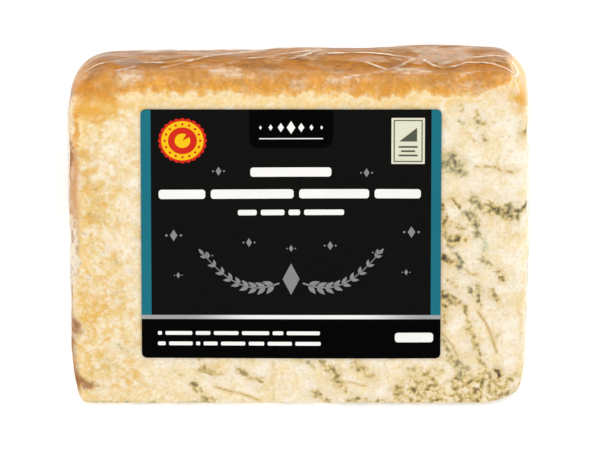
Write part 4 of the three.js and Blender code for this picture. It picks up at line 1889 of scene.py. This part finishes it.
@dataclass
class Label:
    """The printed label, as a thin sheet and the shapes printed on it."""

    effects: Effects
    sheet_lift: float = 0.06
    sheet_thickness: float = 0.24
    level_step: float = 0.04
    sunk: float = 0.01
    footer_height: float = 11.6
    rule_height: float = 1.2
    side_band: float = 2.7
    tab_half: float = 11.3
    tab_height: float = 11.2
    tab_corner: float = 2.6
    seal_centre: Point = (-29.3, 64.1)
    seal_radius: float = 6.6
    materials: dict[Ink, bpy.types.Material] = field(init=False)

    def __post_init__(self) -> None:
        """Builds one material for each ink."""
        self.materials = {ink: InkFinish(self.effects, ink).material() for ink in Ink}

    def layer(self, ink: Ink, level: int) -> InkLayer:
        """A new layer of shapes of one colour, so many levels above the sheet."""
        return InkLayer(ink, self.sheet_lift + self.sheet_thickness + self.level_step * level - self.sunk)

    def piece(self, name: str, layers: Sequence[InkLayer]) -> bpy.types.Object:
        """Makes one piece from several layers.

        Args:
            name: The piece's name.
            layers: Its layers, each in its own colour.

        Returns:
            The piece's object.
        """
        points, faces, finish, start = [], [], [], 0
        for slot, layer in enumerate(layers):
            points += layer.points
            faces += [[start + k for k in face] for face in layer.faces]
            finish += [slot] * len(layer.faces)
            start += layer.count
        materials = [self.materials[layer.ink] for layer in layers]
        joined = np.concatenate(points)
        made = make_piece(name, joined, [faces], materials, finish=np.array(finish), smooth=False)
        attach(made, "root")
        return made

    def build(self) -> None:
        """Makes the sheet and everything printed on it."""
        self.build_sheet()
        self.build_fields()
        self.build_tab()
        self.build_seal()
        self.build_panel()
        self.build_bars()
        self.build_ornament()

    def build_sheet(self) -> None:
        """The paper itself, which stands for the label's node."""
        sheet = InkLayer(Ink.CHARCOAL, self.sheet_lift, self.sheet_thickness)
        half, corner = LABEL.width / 2, LABEL.corner
        sheet.plate(-half, half, 0, LABEL.height, [corner] * 4)
        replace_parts(self.piece("label_sheet", [sheet]), "label")

    def build_fields(self) -> None:
        """The two side bands, the footer and the rule above it."""
        half, corner, top = LABEL.width / 2, LABEL.corner, LABEL.height
        rule_low, rule_high = self.footer_height, self.footer_height + self.rule_height
        bands = self.layer(Ink.TEAL, 0)
        bands.plate(-half, self.side_band - half, rule_high, top, [0, 0, 0, corner])
        bands.plate(half - self.side_band, half, rule_high, top, [0, 0, corner, 0])
        footer = self.layer(Ink.BLACK, 0)
        footer.plate(-half, half, 0, rule_low, [corner, corner, 0, 0])
        rule = self.layer(Ink.SILVER, 0)
        rule.plate(-half, half, rule_low, rule_high)
        self.piece("label_fields", [bands, footer, rule])

    def build_tab(self) -> None:
        """A plain darker tab at the top, with a row of lozenges on it."""
        top = LABEL.height
        tab = self.layer(Ink.BLACK, 0)
        corner = self.tab_corner
        tab.plate(-self.tab_half, self.tab_half, top - self.tab_height, top, [corner, corner, 0, 0])
        trim = self.layer(Ink.WHITE, 1)
        row, spacing, line_half = top - 5.2, 2.75, 8.6
        for step, size in enumerate((1.9, 1.35, 0.9, 0.6)):
            for side in (1, -1) if step else (1,):
                trim.shape(lozenge((side * spacing * step, row), 0.62 * size, size))
        trim.plate(-line_half, line_half, top - 8.6, top - 8.3)
        self.piece("label_tab", [tab, trim])

    def build_seal(self) -> None:
        """A round seal with a scalloped edge and a plain wheel of cheese on it."""
        centre, inner, outer = self.seal_centre, 3.9, 5.7
        rim = self.layer(Ink.RED, 0)
        rim.shape(circle(centre, self.seal_radius, steps=144, scallops=24, depth=0.45))
        band = self.layer(Ink.YELLOW, 1)
        band.ring(centre, inner, outer, steps=72)
        dots = self.layer(Ink.RED, 2)
        for way in around(np.radians(np.arange(0, 360, 22.5))):
            dots.shape(circle(np.array(centre) + (inner + outer) / 2 * way, radius=0.34, steps=10))
        wheel = self.layer(Ink.YELLOW, 1)
        arc = 2.1 * around(np.radians(np.linspace(62, 390, 34)))
        wheel.shape(np.array(centre) + np.concatenate([[[0, 0]], arc]))
        self.piece("label_seal", [rim, band, dots, wheel])

    def build_panel(self) -> None:
        """A small framed panel with a wedge on it."""
        left, right, low, high = 27.1, 36.1, 57.2, 70.7
        ground = self.layer(Ink.CREAM, 0)
        ground.plate(left, right, low, high, [0.2] * 4)
        lines = self.layer(Ink.OLIVE, 1)
        inset, wide = 0.6, 0.28
        for edge in (low + inset, high - inset - wide):
            lines.plate(left + inset, right - inset, edge, edge + wide)
        for edge in (left + inset, right - inset - wide):
            lines.plate(edge, edge + wide, low + inset + wide, high - inset - wide)
        middle, half, foot, peak = (left + right) / 2, 2.4, 63.8, 67.8
        lines.shape(np.array([(middle - half, foot), (middle + half, foot), (middle + half, peak)]))
        for row, half in enumerate((2.6, 1.9, 2.6)):
            level = 62.2 - 1.25 * row
            lines.plate(middle - half, middle + half, level - 0.25, level + 0.25, [0.2] * 4)
        self.piece("label_panel", [ground, lines])

    def build_bars(self) -> None:
        """Pale bars where a pack has its words, one for each word."""
        bars = self.layer(Ink.WHITE, 1)
        for left, low, height, widths in BAR_ROWS:
            for width in widths:
                bars.plate(left, left + width, low, low + height, [0.3 * height] * 4)
                left += width + 0.35 * height + 0.55
        self.piece("label_bars", [bars])

    def build_ornament(self) -> None:
        """Two leafy sprigs that meet at a lozenge, with small lozenges and dots scattered above."""
        grey = self.layer(Ink.GREY, 1)
        low, half_height = 18.8, 4.6
        grey.shape(lozenge((0.0, low + half_height), half_height / 2, half_height))
        for side in (1, -1):
            self.sprig(grey, low + 3.4, side)
        for u, v, size in SCATTERED:
            grey.shape(lozenge((u, v), 0.6 * size, size))
            for way in (1, -1):
                grey.shape(circle((u + way * 1.15 * size, v), radius=0.2 * size, steps=8))
        self.piece("label_ornament", [grey])

    def sprig(self, layer: InkLayer, low: float, side: int) -> None:
        """Adds one sprig, with pairs of leaves that get smaller along it.

        Args:
            layer: The layer to add it to.
            low: How high its foot is on the label.
            side: The way it grows, 1 to the right and -1 to the left.
        """
        steps = np.linspace(0, 1, 28)
        u = side * (3.2 + 20.5 * steps)
        v = low - 2.6 * np.sin(np.pi * steps) + 8.5 * steps**2
        self.stem(layer, u, v)
        for k in range(2, 27, 3):
            along = math.atan2(v[k + 1] - v[k - 1], u[k + 1] - u[k - 1])
            size = 3.4 - 1.6 * steps[k]
            for spread in (0.62, -0.62):
                layer.shape(leaf((u[k], v[k]), size, 0.42 * size, along + spread))
        tip_turn = math.atan2(v[-1] - v[-2], u[-1] - u[-2])
        layer.shape(leaf((u[-1], v[-1]), length=2.2, width=0.9, turn=tip_turn))

    @staticmethod
    def stem(layer: InkLayer, u: Array, v: Array) -> None:
        """Adds a thin stem that narrows along its way.

        Args:
            layer: The layer to add it to.
            u: Its way from left to right.
            v: Its way upwards.
        """
        way = np.stack([np.gradient(u), np.gradient(v)], axis=1)
        way /= np.linalg.norm(way, axis=1, keepdims=True)
        side = np.stack([-way[:, 1], way[:, 0]], axis=1)
        half = np.linspace(0.24, 0.1, len(u))[:, None]
        line = np.stack([u, v], axis=1)
        edges = [line - side * half, (line + side * half)[::-1]]
        layer.shape(np.concatenate(edges))


# ---------------- the studio


@dataclass(frozen=True)
class Softbox:
    """One large soft lamp: where it hangs, how big it is and how strong, in metres and watts."""

    name: str
    place: tuple[float, float, float]
    width: float
    depth: float
    power: float


@dataclass
class Studio:
    """The plain white floor, the soft light and the camera."""

    elevation: float = math.radians(73)
    distance: float = 3.0
    sensor: float = 36.0
    frame_pixels: tuple[int, int] = (600, 450)
    object_middle: Point = (299.0, 223.4)
    pixels_per_mm: float = 3.673
    floor_drop: float = 0.3 * MM
    floor_half: float = 12.0
    floor_glow: float = 0.25
    room_light: float = 0.83
    aim: tuple[float, float, float] = (0.0, 0.0, 0.03)
    boxes: tuple[Softbox, ...] = (
        Softbox("top_softbox", (0.1, 0.3, 0.9), 1.0, 0.8, 3.4),
        Softbox("left_softbox", (-0.9, 0.0, 0.6), 0.5, 0.5, 1.2),
        Softbox("right_softbox", (0.8, 0.45, 0.5), 0.5, 0.5, 1.0),
    )

    def build(self) -> None:
        """Makes the floor, the light and the camera."""
        scene = bpy.context.scene
        scene.view_settings.view_transform = "Standard"
        scene.view_settings.look = "None"
        self.build_floor()
        self.build_world()
        for box in self.boxes:
            self.build_box(box)
        self.build_camera()
        log.info("studio: floor, %d softboxes and camera", len(self.boxes))

    def build_floor(self) -> None:
        """The floor, a plain pale square far wider than the view."""
        half, level = self.floor_half, -self.floor_drop
        mesh = bpy.data.meshes.new("floor")
        corners = [(-half, -half, level), (half, -half, level), (half, half, level), (-half, half, level)]
        mesh.from_pydata(corners, [], [(0, 1, 2, 3)])
        material, graph = new_material("floor_white")
        shader = graph.node("ShaderNodeBsdfPrincipled", {
            "Base Color": (0.96, 0.96, 0.96, 1.0),
            "Roughness": 0.9,
            "Specular IOR Level": 0.0,
            "Emission Color": (1.0, 1.0, 1.0, 1.0),
            "Emission Strength": self.floor_glow,
        })
        graph.surface(shader)
        mesh.materials.append(material)
        floor = bpy.data.objects.new("floor", mesh)
        bpy.context.scene.collection.objects.link(floor)

    def build_world(self) -> None:
        """The even light of a white room."""
        world = bpy.data.worlds.new("white_room")
        world.use_nodes = True
        world.node_tree.nodes.clear()
        graph = Graph(world.node_tree)
        inputs = {"Color": (1.0, 1.0, 1.0, 1.0), "Strength": self.room_light}
        light = graph.node("ShaderNodeBackground", inputs)
        graph.node("ShaderNodeOutputWorld", {"Surface": light.outputs[0]})
        bpy.context.scene.world = world

    def build_box(self, box: Softbox) -> None:
        """One soft lamp, turned to the object.

        Args:
            box: The lamp's sizes.
        """
        data = bpy.data.lights.new(box.name, "AREA")
        data.shape = "RECTANGLE"
        data.size, data.size_y, data.energy = box.width, box.depth, box.power
        lamp = bpy.data.objects.new(box.name, data)
        lamp.location = box.place
        way = Vector(self.aim) - Vector(box.place)
        lamp.rotation_euler = way.to_track_quat("-Z", "Y").to_euler()
        bpy.context.scene.collection.objects.link(lamp)

    def build_camera(self) -> None:
        """The camera, looking down on the label, with the wrapped wedge's outline centred."""
        data = bpy.data.cameras.new("camera")
        data.sensor_width = self.sensor
        width, height = self.frame_pixels
        seen = width / self.pixels_per_mm * MM
        data.lens = self.sensor * self.distance / seen
        camera = bpy.data.objects.new("camera", data)
        back = Vector((0, -math.cos(self.elevation), math.sin(self.elevation)))
        turn = (-back).to_track_quat("-Z", "Y")
        right, up = turn @ Vector((1, 0, 0)), turn @ Vector((0, 1, 0))
        film = bpy.data.objects["film"].data
        spots = np.empty(len(film.vertices) * 3)
        film.vertices.foreach_get("co", spots)
        spots = spots.reshape(-1, 3)
        across, above = spots @ np.array(right), spots @ np.array(up)
        from_left, from_top = self.object_middle
        pixel = MM / self.pixels_per_mm
        centre_x = (across.min() + across.max()) / 2 - (from_left - width / 2) * pixel
        centre_y = (above.min() + above.max()) / 2 + (from_top - height / 2) * pixel
        depth = spots @ np.array(back)
        middle = (depth.min() + depth.max()) / 2
        camera.location = right * centre_x + up * centre_y + back * (middle + self.distance)
        camera.rotation_mode = "QUATERNION"
        camera.rotation_quaternion = turn
        data.clip_start, data.clip_end = 0.1, 100.0
        bpy.context.scene.collection.objects.link(camera)
        bpy.context.scene.camera = camera


def main() -> None:
    """Builds the cheese, the film, the label and the studio, and notes the sizes."""
    effects = Effects()
    Cheese(effects).build()
    Film(effects).build()
    Label(effects).build()
    Studio().build()


if __name__ == "__main__":
    main()
